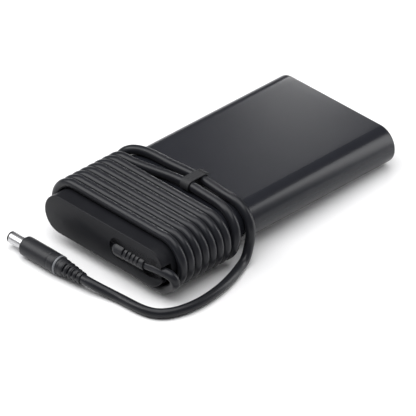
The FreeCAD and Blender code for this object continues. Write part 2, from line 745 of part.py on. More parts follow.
def spline(points, start_direction, end_direction, cuts=()):
    """Edges of a chord-length cubic spline, divided at the points numbered in cuts."""
    points = [Vector(*point) for point in points]
    count = len(points)
    chords = [points[i + 1].distanceToPoint(points[i]) for i in range(count - 1)]
    knots = [0.0]
    for chord in chords:
        knots.append(knots[-1] + chord)

    # tangents at the inner points, by forward elimination and back substitution
    tangents = [None] * count
    tangents[0] = Vector(*start_direction).normalize()
    tangents[-1] = Vector(*end_direction).normalize()
    upper = [0.0] * count
    right = [tangents[0]] * count
    for i in range(1, count - 1):
        before, after = chords[i - 1], chords[i]
        slope = ((points[i] - points[i - 1]) * (3 * after / before)
                 + (points[i + 1] - points[i]) * (3 * before / after))
        pivot = 2 * (before + after) - after * upper[i - 1]
        upper[i] = before / pivot
        right[i] = (slope - right[i - 1] * after) * (1.0 / pivot)
    for i in range(count - 2, 0, -1):
        tangents[i] = right[i] - tangents[i + 1] * upper[i]

    def blossom(k, arguments):
        third = chords[k] / 3
        poles = [points[k], points[k] + tangents[k] * third,
                 points[k + 1] - tangents[k + 1] * third, points[k + 1]]
        for argument in arguments:
            part = (argument - knots[k]) / chords[k]
            poles = [poles[j] * (1 - part) + poles[j + 1] * part
                     for j in range(len(poles) - 1)]
        return poles[0]

    ends = [0] + list(cuts) + [count - 1]
    edges = []
    for first, last in zip(ends[:-1], ends[1:]):
        own = knots[first:last + 1]
        number = len(own)
        repeated = [own[0]] * 4 + own[1:-1] + [own[-1]] * 4
        poles = []
        for j in range(number + 2):
            span = min(max(j + 1, 3), number + 1) - 3
            poles.append(blossom(first + span, repeated[j + 1:j + 4]))
        curve = Part.BSplineCurve()
        multiplicities = [4] + [1] * (number - 2) + [4]
        curve.buildFromPolesMultsKnots(poles, multiplicities, own, False, 3)
        edges.append(curve.toShape())
    return edges


def beside(sign, degrees, y, extra):
    """Centre line point against the rounded side, by angle above the middle."""
    angle = math.radians(degrees)
    reach = BEND_RADIUS + extra
    return (sign * (BEND_X + reach * math.cos(angle)), y, MIDDLE_Z + reach * math.sin(angle))


def side_bend(sign, y):
    """Half circle round one side: up at -x, down at +x."""
    start_z, end_z = (UNDER_Z, OVER_Z) if sign < 0 else (OVER_Z, UNDER_Z)
    return Part.Arc(Vector(sign * BEND_X, y, start_z),
                    Vector(sign * (BEND_X + BEND_RADIUS), y, MIDDLE_Z),
                    Vector(sign * BEND_X, y, end_z)).toShape()


def under(start_y, middle_y, end_y, start_direction=MINUS_X):
    """Crossing below the housing from +x to -x."""
    return spline([(BEND_X, start_y, UNDER_Z), (0.0, middle_y, UNDER_Z),
                   (-BEND_X, end_y, UNDER_Z)], start_direction, MINUS_X)


def lead_out_and_close_turns():
    """Up to the top of the eighth turn at -x."""
    lead = [CABLE_START] + [(x, EXIT_Y + back, z) for x, back, z in LEAD_OUT]
    edges = spline(lead, PLUS_X, LEAD_SLANT)
    edges += under(lead[-1][1], -90.3, FIRST_Y, LEAD_SLANT)
    for turn in range(7):
        y = FIRST_Y + turn * mm.turn_pitch
        next_y = FIRST_Y + (turn + 1) * mm.turn_pitch
        edges.append(side_bend(-1, y))
        over = Part.LineSegment(Vector(-BEND_X, y, OVER_Z), Vector(BEND_X, y, OVER_Z))
        edges.append(over.toShape())
        edges.append(side_bend(1, y))
        edges += under(y, (y + next_y) / 2, next_y)
    edges.append(side_bend(-1, EIGHTH_Y))
    return edges


def eighth_turn():
    """Bows away from the others, under the strap."""
    y = EIGHTH_Y
    widest = beside(1, 0, y + 1.4, 0.1)
    edges = spline([
        (-BEND_X, y, OVER_Z), (-16.0, y + 3.0, OVER_Z + 0.25),
        (2.5, y + 5.75, STRAP_Z), (14.5, y + 5.8, STRAP_Z), (26.0, y + 5.65, OVER_Z + 0.75),
        beside(1, 88, y + 5.1, 0.15), beside(1, 67.5, y + 4.3, 0.12),
        beside(1, 45, y + 3.4, 0.12), beside(1, 22.5, y + 2.35, 0.12), widest,
    ], PLUS_X, DOWN_SIDE, [2, 5])
    edges += spline([
        widest, beside(1, -22.5, y + 0.85, 0.1), beside(1, -45, y + 0.5, 0.1),
        beside(1, -67.5, y + 0.3, 0.08), (BEND_X, y + 0.2, UNDER_Z),
    ], DOWN_SIDE, MINUS_X)
    return edges + under(y + 0.2, (y + NINTH_Y) / 2 + 0.1, NINTH_Y)


def ninth_turn():
    """Over the top under the strap, then off the +x side."""
    y = NINTH_Y
    return spline([
        (-BEND_X, y, UNDER_Z), beside(-1, -67.5, y + 0.2, 0.08),
        beside(-1, -45, y + 0.5, 0.1), beside(-1, -22.5, y + 1.0, 0.12),
        beside(-1, 0, y + 1.75, 0.12), beside(-1, 22.5, y + 2.7, 0.12),
        beside(-1, 45, y + 3.8, 0.12), beside(-1, 67.5, y + 5.0, 0.12),
        (-BEND_X, y + 6.2, OVER_Z + 0.08), (-16.0, y + 8.5, OVER_Z + 0.3),
        (2.5, y + 9.1, STRAP_Z), (14.5, y + 9.12, STRAP_Z),
        (BEND_X - 7, y + 8.75, OVER_Z + 0.35), beside(1, 76, y + 8.35, 0.12),
        beside(1, 50, y + 8.05, 0.12), beside(1, 28, y + 7.75, 0.14),
        beside(1, 6, y + 7.3, 0.35), (54.0, y + 6.2, 6.5),
    ], MINUS_X, TO_TABLE, [4, 8, 11, 13])


def descent():
    """From the side of the housing down to the first joint on the table."""
    to_housing = TILT.inverse()
    points = [(54.0, NINTH_Y + 6.2, 6.5), (54.9, NINTH_Y + 3.8, 1.4),
              (56.1, NINTH_Y + 0.3, -2.0)]
    points += [to_housing.multVec(point) for point in TAIL[:HOUSING_JOINT + 1]]
    direction = to_housing.Rotation.multVec(Vector(2.45, -6.9, 0))
    return spline(points, TO_TABLE, direction)


# ---------------------------------------------------------------- cable pieces
def sweep_cable(label, edges, section_placement):
    path = doc.addObject("Part::Feature", label + "_path")
    path.Shape = Part.Wire(edges)
    section = primitive("Circle", label + "_section", section_placement,
                        Radius=size.cable_radius)
    sweep = doc.addObject("Part::Sweep", label + "_sweep")
    sweep.Sections = [section]
    sweep.Spine = (path, ["Edge%d" % (i + 1) for i in range(len(edges))])
    sweep.Solid = True
    sweep.Frenet = False
    return sweep


def cable_coil():
    edges = lead_out_and_close_turns() + eighth_turn() + ninth_turn() + descent()
    sweep = sweep_cable("coil", edges, Placement(CABLE_START, Rotation(Y_AXIS, 90)))
    sweep.Transition = "Right corner"
    end = TILT.inverse().multVec(TAIL[HOUSING_JOINT])
    ball = sphere("coil_end_ball", size.cable_radius, end)
    keep(fuse("cable_coil", [sweep, ball]), "cable_coil")


def tail_direction(i):
    before, after = TAIL[max(i - 1, 0)], TAIL[min(i + 1, len(TAIL) - 1)]
    return after.sub(before).normalize()


def tail_piece(label, first, last):
    """Cable lying on the table, cupped where it starts and ball-ended where it stops."""
    start, direction = TAIL[first], tail_direction(first)
    upright_to_cable = Rotation(Z_AXIS, direction)
    edges = spline(TAIL[first:last + 1], direction, tail_direction(last))
    sweep = sweep_cable(label, edges, Placement(start, upright_to_cable))
    cup = sphere(label + "_cup", size.cable_radius + size.joint_gap, start)
    lead = 2.0                  # trim begins this far before the joint
    trim = cylinder(label + "_trim", size.cable_radius + 1.5, size.joint_back + lead,
                    Placement(start.sub(direction * lead), upright_to_cable))
    trimmed = cut(label + "_cut", sweep, fuse(label + "_tools", [cup, trim]))
    ball = sphere(label + "_ball", size.cable_radius, TAIL[last])
    keep(fuse(label, [trimmed, ball]), label, LEVEL)


# ---------------------------------------------------------------- output strain relief
def output_strain_relief():
    """Slotted boot lying along +x in the front recess."""
    radius, length = size.boot_radius, size.boot_length
    collar = size.boot_collar + 4.0
    grooves = []
    for k in range(5):
        start = collar + 0.1 + size.boot_slot_pitch * k
        grooves.append(rectangle(size.cable_radius + 0.5, start,
                                 radius + 1.0, start + size.boot_slot))
    body = turned("output_strain_relief", [
        (0, 0), (radius - 3.0, 0), (radius - 0.9, 0.9), (radius, 3.0), (radius, collar),
        (radius - 0.25, collar + 0.6), (radius - 0.5, length), (0, length)], grooves)
    place = at(mm.boot_start, EXIT_Y, EXIT_Z, Z_AXIS, -90)
    keep(body, "output_strain_relief", TILT.multiply(place))


def output_wires():
    """From the front of the board up and forwards to the strain relief."""
    forwards = Vector(0, -8, 0)
    conductors = []
    for x in OUTPUT_WIRE_X:
        start = Vector(x, -73.6, BOARD_TOP + 1.2)
        level = Vector(x, -85.0, EXIT_Z)
        end = Vector(x, EXIT_Y + mm.boot_radius + 0.3, EXIT_Z)
        rise = Part.BSplineCurve()
        rise.interpolate(Points=[start, Vector(x, -80.0, BOARD_TOP + 2.2), level],
                         InitialTangent=forwards, FinalTangent=forwards)
        straight = Part.LineSegment(level, end)
        conductors.append(conductor(start, [rise.toShape(), straight.toShape()]))
    keep_conductors("output_wires", conductors)


# ---------------------------------------------------------------- strap
STRAP_REAR_Y = NINTH_Y + 9.13


def strap_band():
    """Obround band round the eighth and ninth turns."""
    body = new_body("strap_band")
    sk = sketch(body, "YZ_Plane", size.strap_left)
    for radius in (size.strap_inner + size.strap_thick, size.strap_inner):
        stadium(sk, EIGHTH_Y + 5.87, STRAP_REAR_Y, size.strap_high, radius)
    pad(body, sk, size.strap_width)
    keep(body, "strap_band")


def strap_tongue():
    """Free end, starting just clear of the band's rear curve and sloping away from it."""
    body = new_body("strap_tongue")
    sk = sketch(body, "YZ_Plane", size.strap_left)
    stadium(sk, 0.0, size.tongue_length, 0.0, size.tongue_root)
    pad(body, sk, size.strap_width)
    slope = math.radians(mm.tongue_slope)
    reach = mm.strap_inner + mm.strap_thick + mm.tongue_root + 0.04
    place = at(0, STRAP_REAR_Y + reach * math.sin(slope),
               mm.strap_high + reach * math.cos(slope), X_AXIS, -mm.tongue_slope)
    keep(body, "strap_tongue", TILT.multiply(place))


# ---------------------------------------------------------------- plug
# turned along +x from the tip; profiles are (radius, distance from the tip)
PLUG_PLACE = at(-mm.plug_tip_back, -mm.plug_axis_front, mm.plug_axis_high, Z_AXIS, -90)
BARREL_END = size.barrel_exposed + size.barrel_buried
GRIP_START = size.barrel_exposed + 0.02
GRIP_END = GRIP_START + size.grip_length
RING_START = GRIP_END + 0.02
RING_END = RING_START + size.ring_width


def plug_piece(label, profile, grooves=()):
    keep(turned(label, profile, grooves), label, PLUG_PLACE)


def plug_contacts():
    """Barrel, insulator inside it, contact inside that, and the centre pin."""
    exposed, nose = size.barrel_exposed, size.nose_length
    radius, bore = size.barrel_radius, size.barrel_bore
    sleeve, pin = size.sleeve_radius, size.pin_radius
    plug_piece("plug_barrel", [
        (sleeve + 0.02, nose + 0.02), (radius - 0.15, nose + 0.02), (radius, nose + 0.2),
        (radius, exposed), (radius - 0.2, exposed), (radius - 0.2, BARREL_END),
        (sleeve + 0.02, BARREL_END)])
    plug_piece("plug_insulator", [
        (bore + 0.32, 0.3), (bore + 0.62, 0), (radius - 0.35, 0), (radius - 0.08, nose),
        (sleeve, nose), (sleeve, BARREL_END), (bore + 0.32, BARREL_END)])
    plug_piece("plug_inner_contact", [
        (bore, 0.5), (bore + 0.3, 0.5), (bore + 0.3, BARREL_END + 2.0),
        (0, BARREL_END + 2.0), (0, exposed + 2.0), (bore, exposed + 2.0)],
        [rectangle(0, exposed + 1.0, pin + 0.4, BARREL_END + 3.0)])
    plug_piece("plug_center_pin", [
        (0, 3.0), (pin * 0.5, 3.0), (pin, 3.6), (pin, BARREL_END + 2.5),
        (0, BARREL_END + 2.5)])


def plug_grip():
    bore, radius = size.barrel_radius - 0.18, size.grip_radius
    bore_end = GRIP_START + size.barrel_buried + 3.0
    plug_piece("plug_grip", [
        (bore, GRIP_START), (radius - 0.9, GRIP_START), (radius, GRIP_START + 1.1),
        (radius, GRIP_END - 1.2), (radius - 0.3, GRIP_END), (0, GRIP_END),
        (0, bore_end), (bore, bore_end)])


def plug_strain_relief():
    """Slotted tapering boot, cupped for the ball that ends the cable."""
    start, radius = RING_END + 0.02, size.tail_boot_radius
    end = start + size.tail_boot_length
    grooves = []
    for k in range(4):
        slot = start + 5.4 + 3.38 * k
        grooves.append(rectangle(size.cable_radius + 0.3, slot, radius + 1.0, slot + 1.1))
    body = turned("plug_strain_relief", [
        (0, start), (radius, start), (radius, start + 4.6), (radius - 0.4, start + 5.4),
        (size.tail_boot_end, end), (0, end)], grooves)
    body.Placement = PLUG_PLACE
    cup = sphere("boot_cup", size.cable_radius + size.joint_gap, TAIL[PLUG_JOINT])
    keep(cut("plug_strain_relief", body, cup), "plug_strain_relief", LEVEL)


# ---------------------------------------------------------------- build
housing_sleeve()
front_end_cap()
rear_end_cap()
inlet_socket()
inlet_pins()
inlet_wires()
circuit_board()
plates()
fuse_holder()
varistor()
box_capacitor("x_capacitor", rectangle(14.0, 40.0, 24.0, 60.0), 14.0)
emi_choke()
bridge_rectifier()
pfc_choke()
bulk_capacitors()
heatsink("primary_heatsink", PRIMARY_SINK, flip=False)
heatsink("secondary_heatsink", SECONDARY_SINK, flip=True)
transistors("primary_transistors", PRIMARY_SINK[0] + mm.sink_thick + 0.02, PRIMARY_SINK[1])
transistors("secondary_transistors", SECONDARY_SINK[0] - 0.02 - mm.fet_thick,
            SECONDARY_SINK[1])
transformer()
box_capacitor("resonant_capacitor", rectangle(-36.0, -62.0, -18.0, -54.0), 12.0)
output_capacitors()
y_capacitor()
optocoupler()
control_chips()
cable_coil()
tail_piece("cable_tail_rear", HOUSING_JOINT, CORNER_JOINT)
tail_piece("cable_tail_front", CORNER_JOINT, PLUG_JOINT)
output_strain_relief()
output_wires()
strap_band()
strap_tongue()
plug_contacts()
plug_grip()
plug_piece("plug_light_ring", rectangle(3.2, RING_START, size.ring_radius, RING_END))
plug_strain_relief()

# ---------------------------------------------------------------- export
doc.recompute()
failed = [obj.Name for obj in doc.Objects if "Invalid" in obj.State or "Error" in obj.State]
if failed:
    raise RuntimeError("failed objects: %s" % failed)
os.makedirs("parts", exist_ok=True)
for piece in parts:
    shape = piece.Shape
    if shape.isNull() or not shape.isValid() or not shape.Solids:
        raise RuntimeError("no sound solid: " + piece.Label)
    shape.exportStep(os.path.join("parts", piece.Label + ".step"))
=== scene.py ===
import json
import math

import bmesh
import bpy
import numpy as np
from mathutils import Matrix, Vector
from mathutils.geometry import tessellate_polygon


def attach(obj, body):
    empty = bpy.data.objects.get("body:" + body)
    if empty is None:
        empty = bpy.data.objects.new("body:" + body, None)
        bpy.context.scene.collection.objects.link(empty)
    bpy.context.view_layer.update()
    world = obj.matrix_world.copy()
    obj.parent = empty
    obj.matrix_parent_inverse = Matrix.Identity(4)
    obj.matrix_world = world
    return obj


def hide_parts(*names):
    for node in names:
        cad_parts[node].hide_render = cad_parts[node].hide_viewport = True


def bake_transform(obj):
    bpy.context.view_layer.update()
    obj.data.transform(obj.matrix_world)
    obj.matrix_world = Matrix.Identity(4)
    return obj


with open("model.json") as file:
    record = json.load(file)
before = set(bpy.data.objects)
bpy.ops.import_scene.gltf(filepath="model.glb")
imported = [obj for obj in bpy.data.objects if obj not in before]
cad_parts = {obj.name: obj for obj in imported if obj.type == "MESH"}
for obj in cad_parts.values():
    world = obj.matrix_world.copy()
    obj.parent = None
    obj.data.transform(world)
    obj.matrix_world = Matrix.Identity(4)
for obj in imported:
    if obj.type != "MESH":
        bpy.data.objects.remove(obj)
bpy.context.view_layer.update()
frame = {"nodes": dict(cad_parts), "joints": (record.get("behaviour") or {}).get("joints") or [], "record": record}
record = frame["record"]
mounts = {m["name"]: m for m in record["mounts"]}
joints = {j["name"]: j for j in frame["joints"]}

# ------------------------------------------------------------------ main sizes (mm)
HALF_WIDTH = 50.0
HEIGHT = 25.4
SIDE_R = HEIGHT / 2          # the sides are half rounds; also the height of the middle
SIDE_X = HALF_WIDTH - SIDE_R  # centre of each half round
FRONT_Y, REAR_Y = -100.0, 100.0
CAP_FACE_BACK = -93.0        # where the front cap's face slab ends

CABLE_R = 3.0
CABLE_OFFSET = CABLE_R + 0.12  # cable centre line to housing surface
WRAP_R = SIDE_R + CABLE_OFFSET
WRAP_TOP, WRAP_BOTTOM = HEIGHT + CABLE_OFFSET, -CABLE_OFFSET
WRAP_PITCH = 6.14
WRAP_Y = np.cumsum([-87.0] + [WRAP_PITCH] * 7)  # where each of the eight turns starts
STRAP_TURN_1 = WRAP_Y[-1]    # the two turns that are gathered by the strap
STRAP_TURN_2 = STRAP_TURN_1 + WRAP_PITCH + 0.5

CABLE_EXIT_Y, CABLE_EXIT_Z = -98.0, 12.0  # axis of the boot in the front channel
PLUG_Y, PLUG_Z = -119.7, 6.3              # plug axis, in the table frame
WINDOW_ANGLE = 2.36          # rad, first row of windows round both boots

# ------------------------------------------------------------------ frames
# Housing frame: underside z = 0. Table frame: the tabletop is z = 0 and the housing's rear
# lower edge lies on it at y = 100. Row frame: the table frame shifted, in metres.
inlet_axis = mounts["mains_inlet"]["axis"]
TILT = math.atan2(-inlet_axis[2], inlet_axis[1])
COS_TILT, SIN_TILT = math.cos(TILT), math.sin(TILT)
inlet = np.array(mounts["mains_inlet"]["pos_m"]) * 1000.0
SHIFT_X = -inlet[0]
SHIFT_Y = REAR_Y + SIDE_R * SIN_TILT - inlet[1]


def housing_to_row(points):
    points = np.atleast_2d(np.asarray(points, float))
    x, y, z = points[:, 0], points[:, 1], points[:, 2]
    return np.c_[x - SHIFT_X,
                 REAR_Y + (y - REAR_Y) * COS_TILT + z * SIN_TILT - SHIFT_Y,
                 -(y - REAR_Y) * SIN_TILT + z * COS_TILT] / 1000.0


def table_to_row(points):
    points = np.atleast_2d(np.asarray(points, float))
    return np.c_[points[:, 0] - SHIFT_X, points[:, 1] - SHIFT_Y, points[:, 2]] / 1000.0


def row_to_table(points):
    points = np.atleast_2d(np.asarray(points, float)) * 1000.0
    return np.c_[points[:, 0] + SHIFT_X, points[:, 1] + SHIFT_Y, points[:, 2]]


def housing_to_table(points):
    return row_to_table(housing_to_row(points))


# ------------------------------------------------------------------ materials
def material(name, base, rough=0.5, metallic=0.0, spec=0.5, grain=900.0, grain_bump=0.05,
             mottling=0.06, wear=0.25, wear_to=None, rough_var=0.08, streak=0.0, coat=0.0,
             ribs=None, fine=4200.0, fine_bump=0.03):
    """Mottled, grained surface with rubbed edges.

    grain and fine are noise scales; streak stretches a third noise along Y and Z;
    ribs is (band direction, scale, bump strength).
    """
    mat = bpy.data.materials.new(name)
    mat.use_nodes = True
    tree = mat.node_tree
    tree.nodes.clear()
    add, link = tree.nodes.new, tree.links.new

    def noise(scale, detail, vector):
        node = add("ShaderNodeTexNoise")
        node.inputs["Scale"].default_value = scale
        node.inputs["Detail"].default_value = detail
        link(vector, node.inputs["Vector"])
        return node.outputs["Fac"]

    def ramp(source, low, high, low_color=(0, 0, 0), high_color=(1, 1, 1)):
        node = add("ShaderNodeValToRGB")
        first, last = node.color_ramp.elements
        first.position, last.position = low, high
        first.color, last.color = (*low_color, 1), (*high_color, 1)
        link(source, node.inputs[0])
        return node.outputs[0]

    def bump(height, strength, distance, normal=None):
        node = add("ShaderNodeBump")
        node.inputs["Strength"].default_value = strength
        node.inputs["Distance"].default_value = distance
        link(height, node.inputs["Height"])
        if normal:
            link(normal, node.inputs["Normal"])
        return node.outputs[0]

    output = add("ShaderNodeOutputMaterial")
    bsdf = add("ShaderNodeBsdfPrincipled")
    link(bsdf.outputs[0], output.inputs[0])
    position = add("ShaderNodeTexCoord").outputs["Object"]
    grain_noise = noise(grain, 3.0, position)
    slow_noise = noise(grain / 28.0, 4.0, position)
    fine_noise = noise(fine, 1.0, position)

    color = ramp(slow_noise, 0.3, 0.72,
                 low_color=tuple(c * (1 - mottling) for c in base),
                 high_color=tuple(min(1.0, c * (1 + mottling * 2) + 0.0002) for c in base))
    if wear:
        geometry = add("ShaderNodeNewGeometry")
        edges = ramp(geometry.outputs["Pointiness"], 0.52, 0.62)
        amount = add("ShaderNodeMath")
        amount.operation = "MULTIPLY"
        link(edges, amount.inputs[0])
        patches = add("ShaderNodeMath")
        patches.operation = "MULTIPLY"
        patches.inputs[1].default_value = wear
        link(grain_noise, patches.inputs[0])
        link(patches.outputs[0], amount.inputs[1])
        mix = add("ShaderNodeMixRGB")
        link(amount.outputs[0], mix.inputs[0])
        link(color, mix.inputs[1])
        worn = wear_to or tuple(min(1, c * 2.2 + 0.02) for c in base)
        mix.inputs[2].default_value = (*worn, 1)
        color = mix.outputs[0]
    link(color, bsdf.inputs["Base Color"])
    bsdf.inputs["Metallic"].default_value = metallic
    bsdf.inputs["Specular IOR Level"].default_value = spec

    rough_map = add("ShaderNodeMapRange")
    rough_map.inputs["From Min"].default_value = 0.25
    rough_map.inputs["From Max"].default_value = 0.75
    rough_map.inputs["To Min"].default_value = max(0.02, rough - rough_var)
    rough_map.inputs["To Max"].default_value = min(1.0, rough + rough_var)
    link(slow_noise, rough_map.inputs["Value"])
    link(rough_map.outputs[0], bsdf.inputs["Roughness"])

    normal = bump(grain_noise, strength=grain_bump, distance=0.0004)
    normal = bump(fine_noise, strength=fine_bump, distance=0.0002, normal=normal)
    if streak:
        mapping = add("ShaderNodeMapping")
        mapping.inputs["Scale"].default_value = (streak * 40, streak, streak)
        link(position, mapping.inputs["Vector"])
        streaks = noise(60.0, 2.0, mapping.outputs[0])
        normal = bump(streaks, strength=0.05, distance=0.0002, normal=normal)
    if ribs:
        direction, scale, strength = ribs
        wave = add("ShaderNodeTexWave")
        wave.wave_type = "BANDS"
        wave.bands_direction = direction
        wave.inputs["Scale"].default_value = scale
        link(position, wave.inputs["Vector"])
        normal = bump(wave.outputs["Fac"], strength=strength, distance=0.0003, normal=normal)
    link(normal, bsdf.inputs["Normal"])
    if coat:
        bsdf.inputs["Coat Weight"].default_value = coat
        bsdf.inputs["Coat Roughness"].default_value = 0.15
    return mat


SHELL = material("shell_plastic", (0.0132, 0.0140, 0.0182), rough=0.255, spec=0.26, grain=2600,
                 grain_bump=0.014, mottling=0.04, wear=0.15, rough_var=0.004, fine=7000,
                 fine_bump=0.008)
# Shell plastic again, with its base colour and specular lowered: painted shade that darkens the front end cap.
CAP = material("cap_plastic", (0.0095, 0.0098, 0.0120), rough=0.34, spec=0.16, grain=2600,
               grain_bump=0.025, mottling=0.05, wear=0.20, rough_var=0.012, fine=7000,
               fine_bump=0.012)
NOSE = material("nose_plastic", (0.005, 0.005, 0.006), rough=0.55, spec=0.20, grain=2200,
                grain_bump=0.02, mottling=0.08, wear=0.0)
DARK = material("dark_plastic", (0.012, 0.012, 0.013), rough=0.42, spec=0.45, grain=2200,
                grain_bump=0.08, mottling=0.08, wear=0.25)
JACKET = material("cable_jacket", (0.0125, 0.0131, 0.0162), rough=0.30, spec=0.24, grain=420,
                  grain_bump=0.008, mottling=0.10, wear=0.0, rough_var=0.015, fine=5200,
                  fine_bump=0.006)
BOOT = material("boot_rubber", (0.0125, 0.0130, 0.0158), rough=0.40, spec=0.30, grain=1500,
                grain_bump=0.015, mottling=0.10, wear=0.30, rough_var=0.06)
STRAP = material("strap_rubber", (0.0180, 0.0184, 0.0205), rough=0.62, spec=0.35, grain=1800,
                 grain_bump=0.15, mottling=0.12, wear=0.3, ribs=("X", 180.0, 0.25))
NICKEL = material("nickel_plate", (0.50, 0.50, 0.51), rough=0.32, metallic=1.0, grain=700,
                  grain_bump=0.01, mottling=0.03, wear=0.15, wear_to=(0.85, 0.85, 0.86),
                  streak=1.0, rough_var=0.03, fine_bump=0.005)
# Light grey base, about ten times the boot's: painted highlight on the ring between the plug grip and boot.
RING = material("ring_translucent", (0.125, 0.130, 0.140), rough=0.38, spec=0.5, grain=1500,
                grain_bump=0.04, mottling=0.08, wear=0.2)
GOLD = material("contact_metal", (0.78, 0.60, 0.32), rough=0.25, metallic=1.0, grain=900,
                grain_bump=0.02, mottling=0.05, wear=0.1, streak=2.0)
SLOT_MATERIALS = {
    "shell": SHELL,
    "shell_dark": DARK,
    "jacket": JACKET,
    "soft_boot": BOOT,
    "strap": STRAP,
    "nickel": NICKEL,
    "brass_contact": GOLD,
    "light_ring": RING,
    "board": material("board_mask", (0.02, 0.13, 0.055), rough=0.35, spec=0.5, grain=500,
                      grain_bump=0.10, mottling=0.25, wear=0.2),
    "ferrite": material("ferrite_sinter", (0.03, 0.03, 0.033), rough=0.7, spec=0.3, grain=1800,
                        grain_bump=0.25, mottling=0.2, wear=0.4),
    "copper": material("enamelled_wire", (0.62, 0.24, 0.08), rough=0.30, metallic=0.9,
                       grain=700, grain_bump=0.05, mottling=0.15, wear=0.1,
                       ribs=("DIAGONAL", 420.0, 0.8)),
    "aluminium": material("sheet_aluminium", (0.62, 0.63, 0.65), rough=0.35, metallic=1.0,
                          grain=600, grain_bump=0.03, mottling=0.05, wear=0.2, streak=4.0),
    "capacitor_sleeve": material("shrink_sleeve", (0.02, 0.03, 0.085), rough=0.28, spec=0.5,
                                 grain=500, grain_bump=0.05, mottling=0.1, wear=0.2, coat=0.3),
    "film_yellow": material("film_case", (0.66, 0.42, 0.03), rough=0.35, grain=900,
                            grain_bump=0.06, mottling=0.08, wear=0.2),
    "ceramic_blue": material("ceramic_dip", (0.03, 0.11, 0.36), rough=0.30, grain=700,
                             grain_bump=0.15, mottling=0.15, wear=0.1, coat=0.4),
    "ceramic_white": material("ceramic_tube", (0.72, 0.70, 0.64), rough=0.40, grain=900,
                              grain_bump=0.05, mottling=0.05, wear=0.1),
    "epoxy": material("epoxy_package", (0.013, 0.013, 0.014), rough=0.55, grain=2400,
                      grain_bump=0.15, mottling=0.1, wear=0.3),
    "insulation": material("insulating_film", (0.62, 0.52, 0.30), rough=0.45, grain=600,
                           grain_bump=0.05, mottling=0.1, wear=0.1),
    "wire": material("wire_insulation", (0.45, 0.03, 0.02), rough=0.40, grain=700,
                     grain_bump=0.05, mottling=0.1, wear=0.1),
}


def dress_cad_pieces():
    slot_of = {s["node"]: s["material_slot"] for s in record["subparts"]}
    for name, piece in frame["nodes"].items():
        mat = SLOT_MATERIALS[slot_of[name]]
        slots = piece.data.materials
        if slots:
            for i in range(len(slots)):
                slots[i] = mat
        else:
            slots.append(mat)


# ------------------------------------------------------------------ making objects
def make(name, verts, faces, mat, body, replaced, sharp, tidy=True):
    """Smooth-shaded mesh (verts in row metres) with edges above sharp degrees left hard."""
    mesh = bpy.data.meshes.new(name)
    mesh.from_pydata([tuple(v) for v in verts], [], [tuple(int(i) for i in f) for f in faces])
    mesh.validate()
    mesh.materials.append(mat)
    for polygon in mesh.polygons:
        polygon.use_smooth = True
    obj = bpy.data.objects.new(name, mesh)
    bpy.context.scene.collection.objects.link(obj)
    with bpy.context.temp_override(object=obj, active_object=obj, selected_objects=[obj],
                                   selected_editable_objects=[obj]):
        bpy.ops.object.shade_smooth_by_angle(angle=math.radians(sharp))
    if body:
        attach(obj, body)
    if replaced:
        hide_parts(replaced)
    if tidy:
        weld_and_orient(mesh)
    return obj


def weld_and_orient(mesh):
    bm = bmesh.new()
    bm.from_mesh(mesh)
    bmesh.ops.remove_doubles(bm, verts=bm.verts, dist=1e-7)
    bmesh.ops.recalc_face_normals(bm, faces=bm.faces)
    bm.to_mesh(mesh)
    bm.free()


# ------------------------------------------------------------------ paths and skins
def spline(points, start_dir, end_dir, step=0.8):
    """Clamped cubic interpolation with given end directions, sampled about every step mm."""
    points = np.asarray(points, float)
    chord = np.linalg.norm(np.diff(points, axis=0), axis=1)
    count = len(points)
    matrix = np.zeros((count, count))
    rhs = np.zeros((count, 3))
    matrix[0, 0] = matrix[-1, -1] = 1
    rhs[0] = np.asarray(start_dir, float) / np.linalg.norm(start_dir)
    rhs[-1] = np.asarray(end_dir, float) / np.linalg.norm(end_dir)
    for i in range(1, count - 1):
        before, after = chord[i - 1], chord[i]
        matrix[i, i - 1:i + 2] = after, 2 * (before + after), before
        rhs[i] = 3 * (after / before * (points[i] - points[i - 1])
                      + before / after * (points[i + 1] - points[i]))
    slopes = np.linalg.solve(matrix, rhs)
    out = []
    for i, length in enumerate(chord):
        pieces = max(2, int(math.ceil(length / step)))
        s = np.linspace(0, 1, pieces + 1)[:-1, None]
        out.append((2 * s**3 - 3 * s**2 + 1) * points[i]
                   + (s**3 - 2 * s**2 + s) * length * slopes[i]
                   + (-2 * s**3 + 3 * s**2) * points[i + 1]
                   + (s**3 - s**2) * length * slopes[i + 1])
    out.append(points[-1:])
    return np.vstack(out)


def line(start, end, step):
    start, end = np.array(start, float), np.array(end, float)
    pieces = max(2, int(np.linalg.norm(end - start) / step))
    return start + np.linspace(0, 1, pieces + 1)[:, None] * (end - start)


def join(*segments):
    out = [segments[0]]
    for segment in segments[1:]:
        touching = np.linalg.norm(segment[0] - out[-1][-1]) < 1e-6
        out.append(segment[1:] if touching else segment)
    return np.vstack(out)


def turn_angles(segments):
    return np.linspace(0, 2 * math.pi, segments, endpoint=False)


def tube_rings(path, radius, segments):
    """Circles across a path, carried along it without twisting."""
    tangents = np.gradient(path, axis=0)
    tangents /= np.linalg.norm(tangents, axis=1)[:, None]
    normal = np.cross(tangents[0], [0, 0, 1.0])
    normal /= np.linalg.norm(normal)
    normals = [normal]
    for tangent in tangents[1:]:
        normal = normals[-1] - np.dot(normals[-1], tangent) * tangent
        normal /= np.linalg.norm(normal)
        normals.append(normal)
    normals = np.array(normals)
    binormals = np.cross(tangents, normals)
    angles = turn_angles(segments)[None, :, None]
    return path[:, None, :] + radius * (np.cos(angles) * normals[:, None, :]
                                        + np.sin(angles) * binormals[:, None, :])


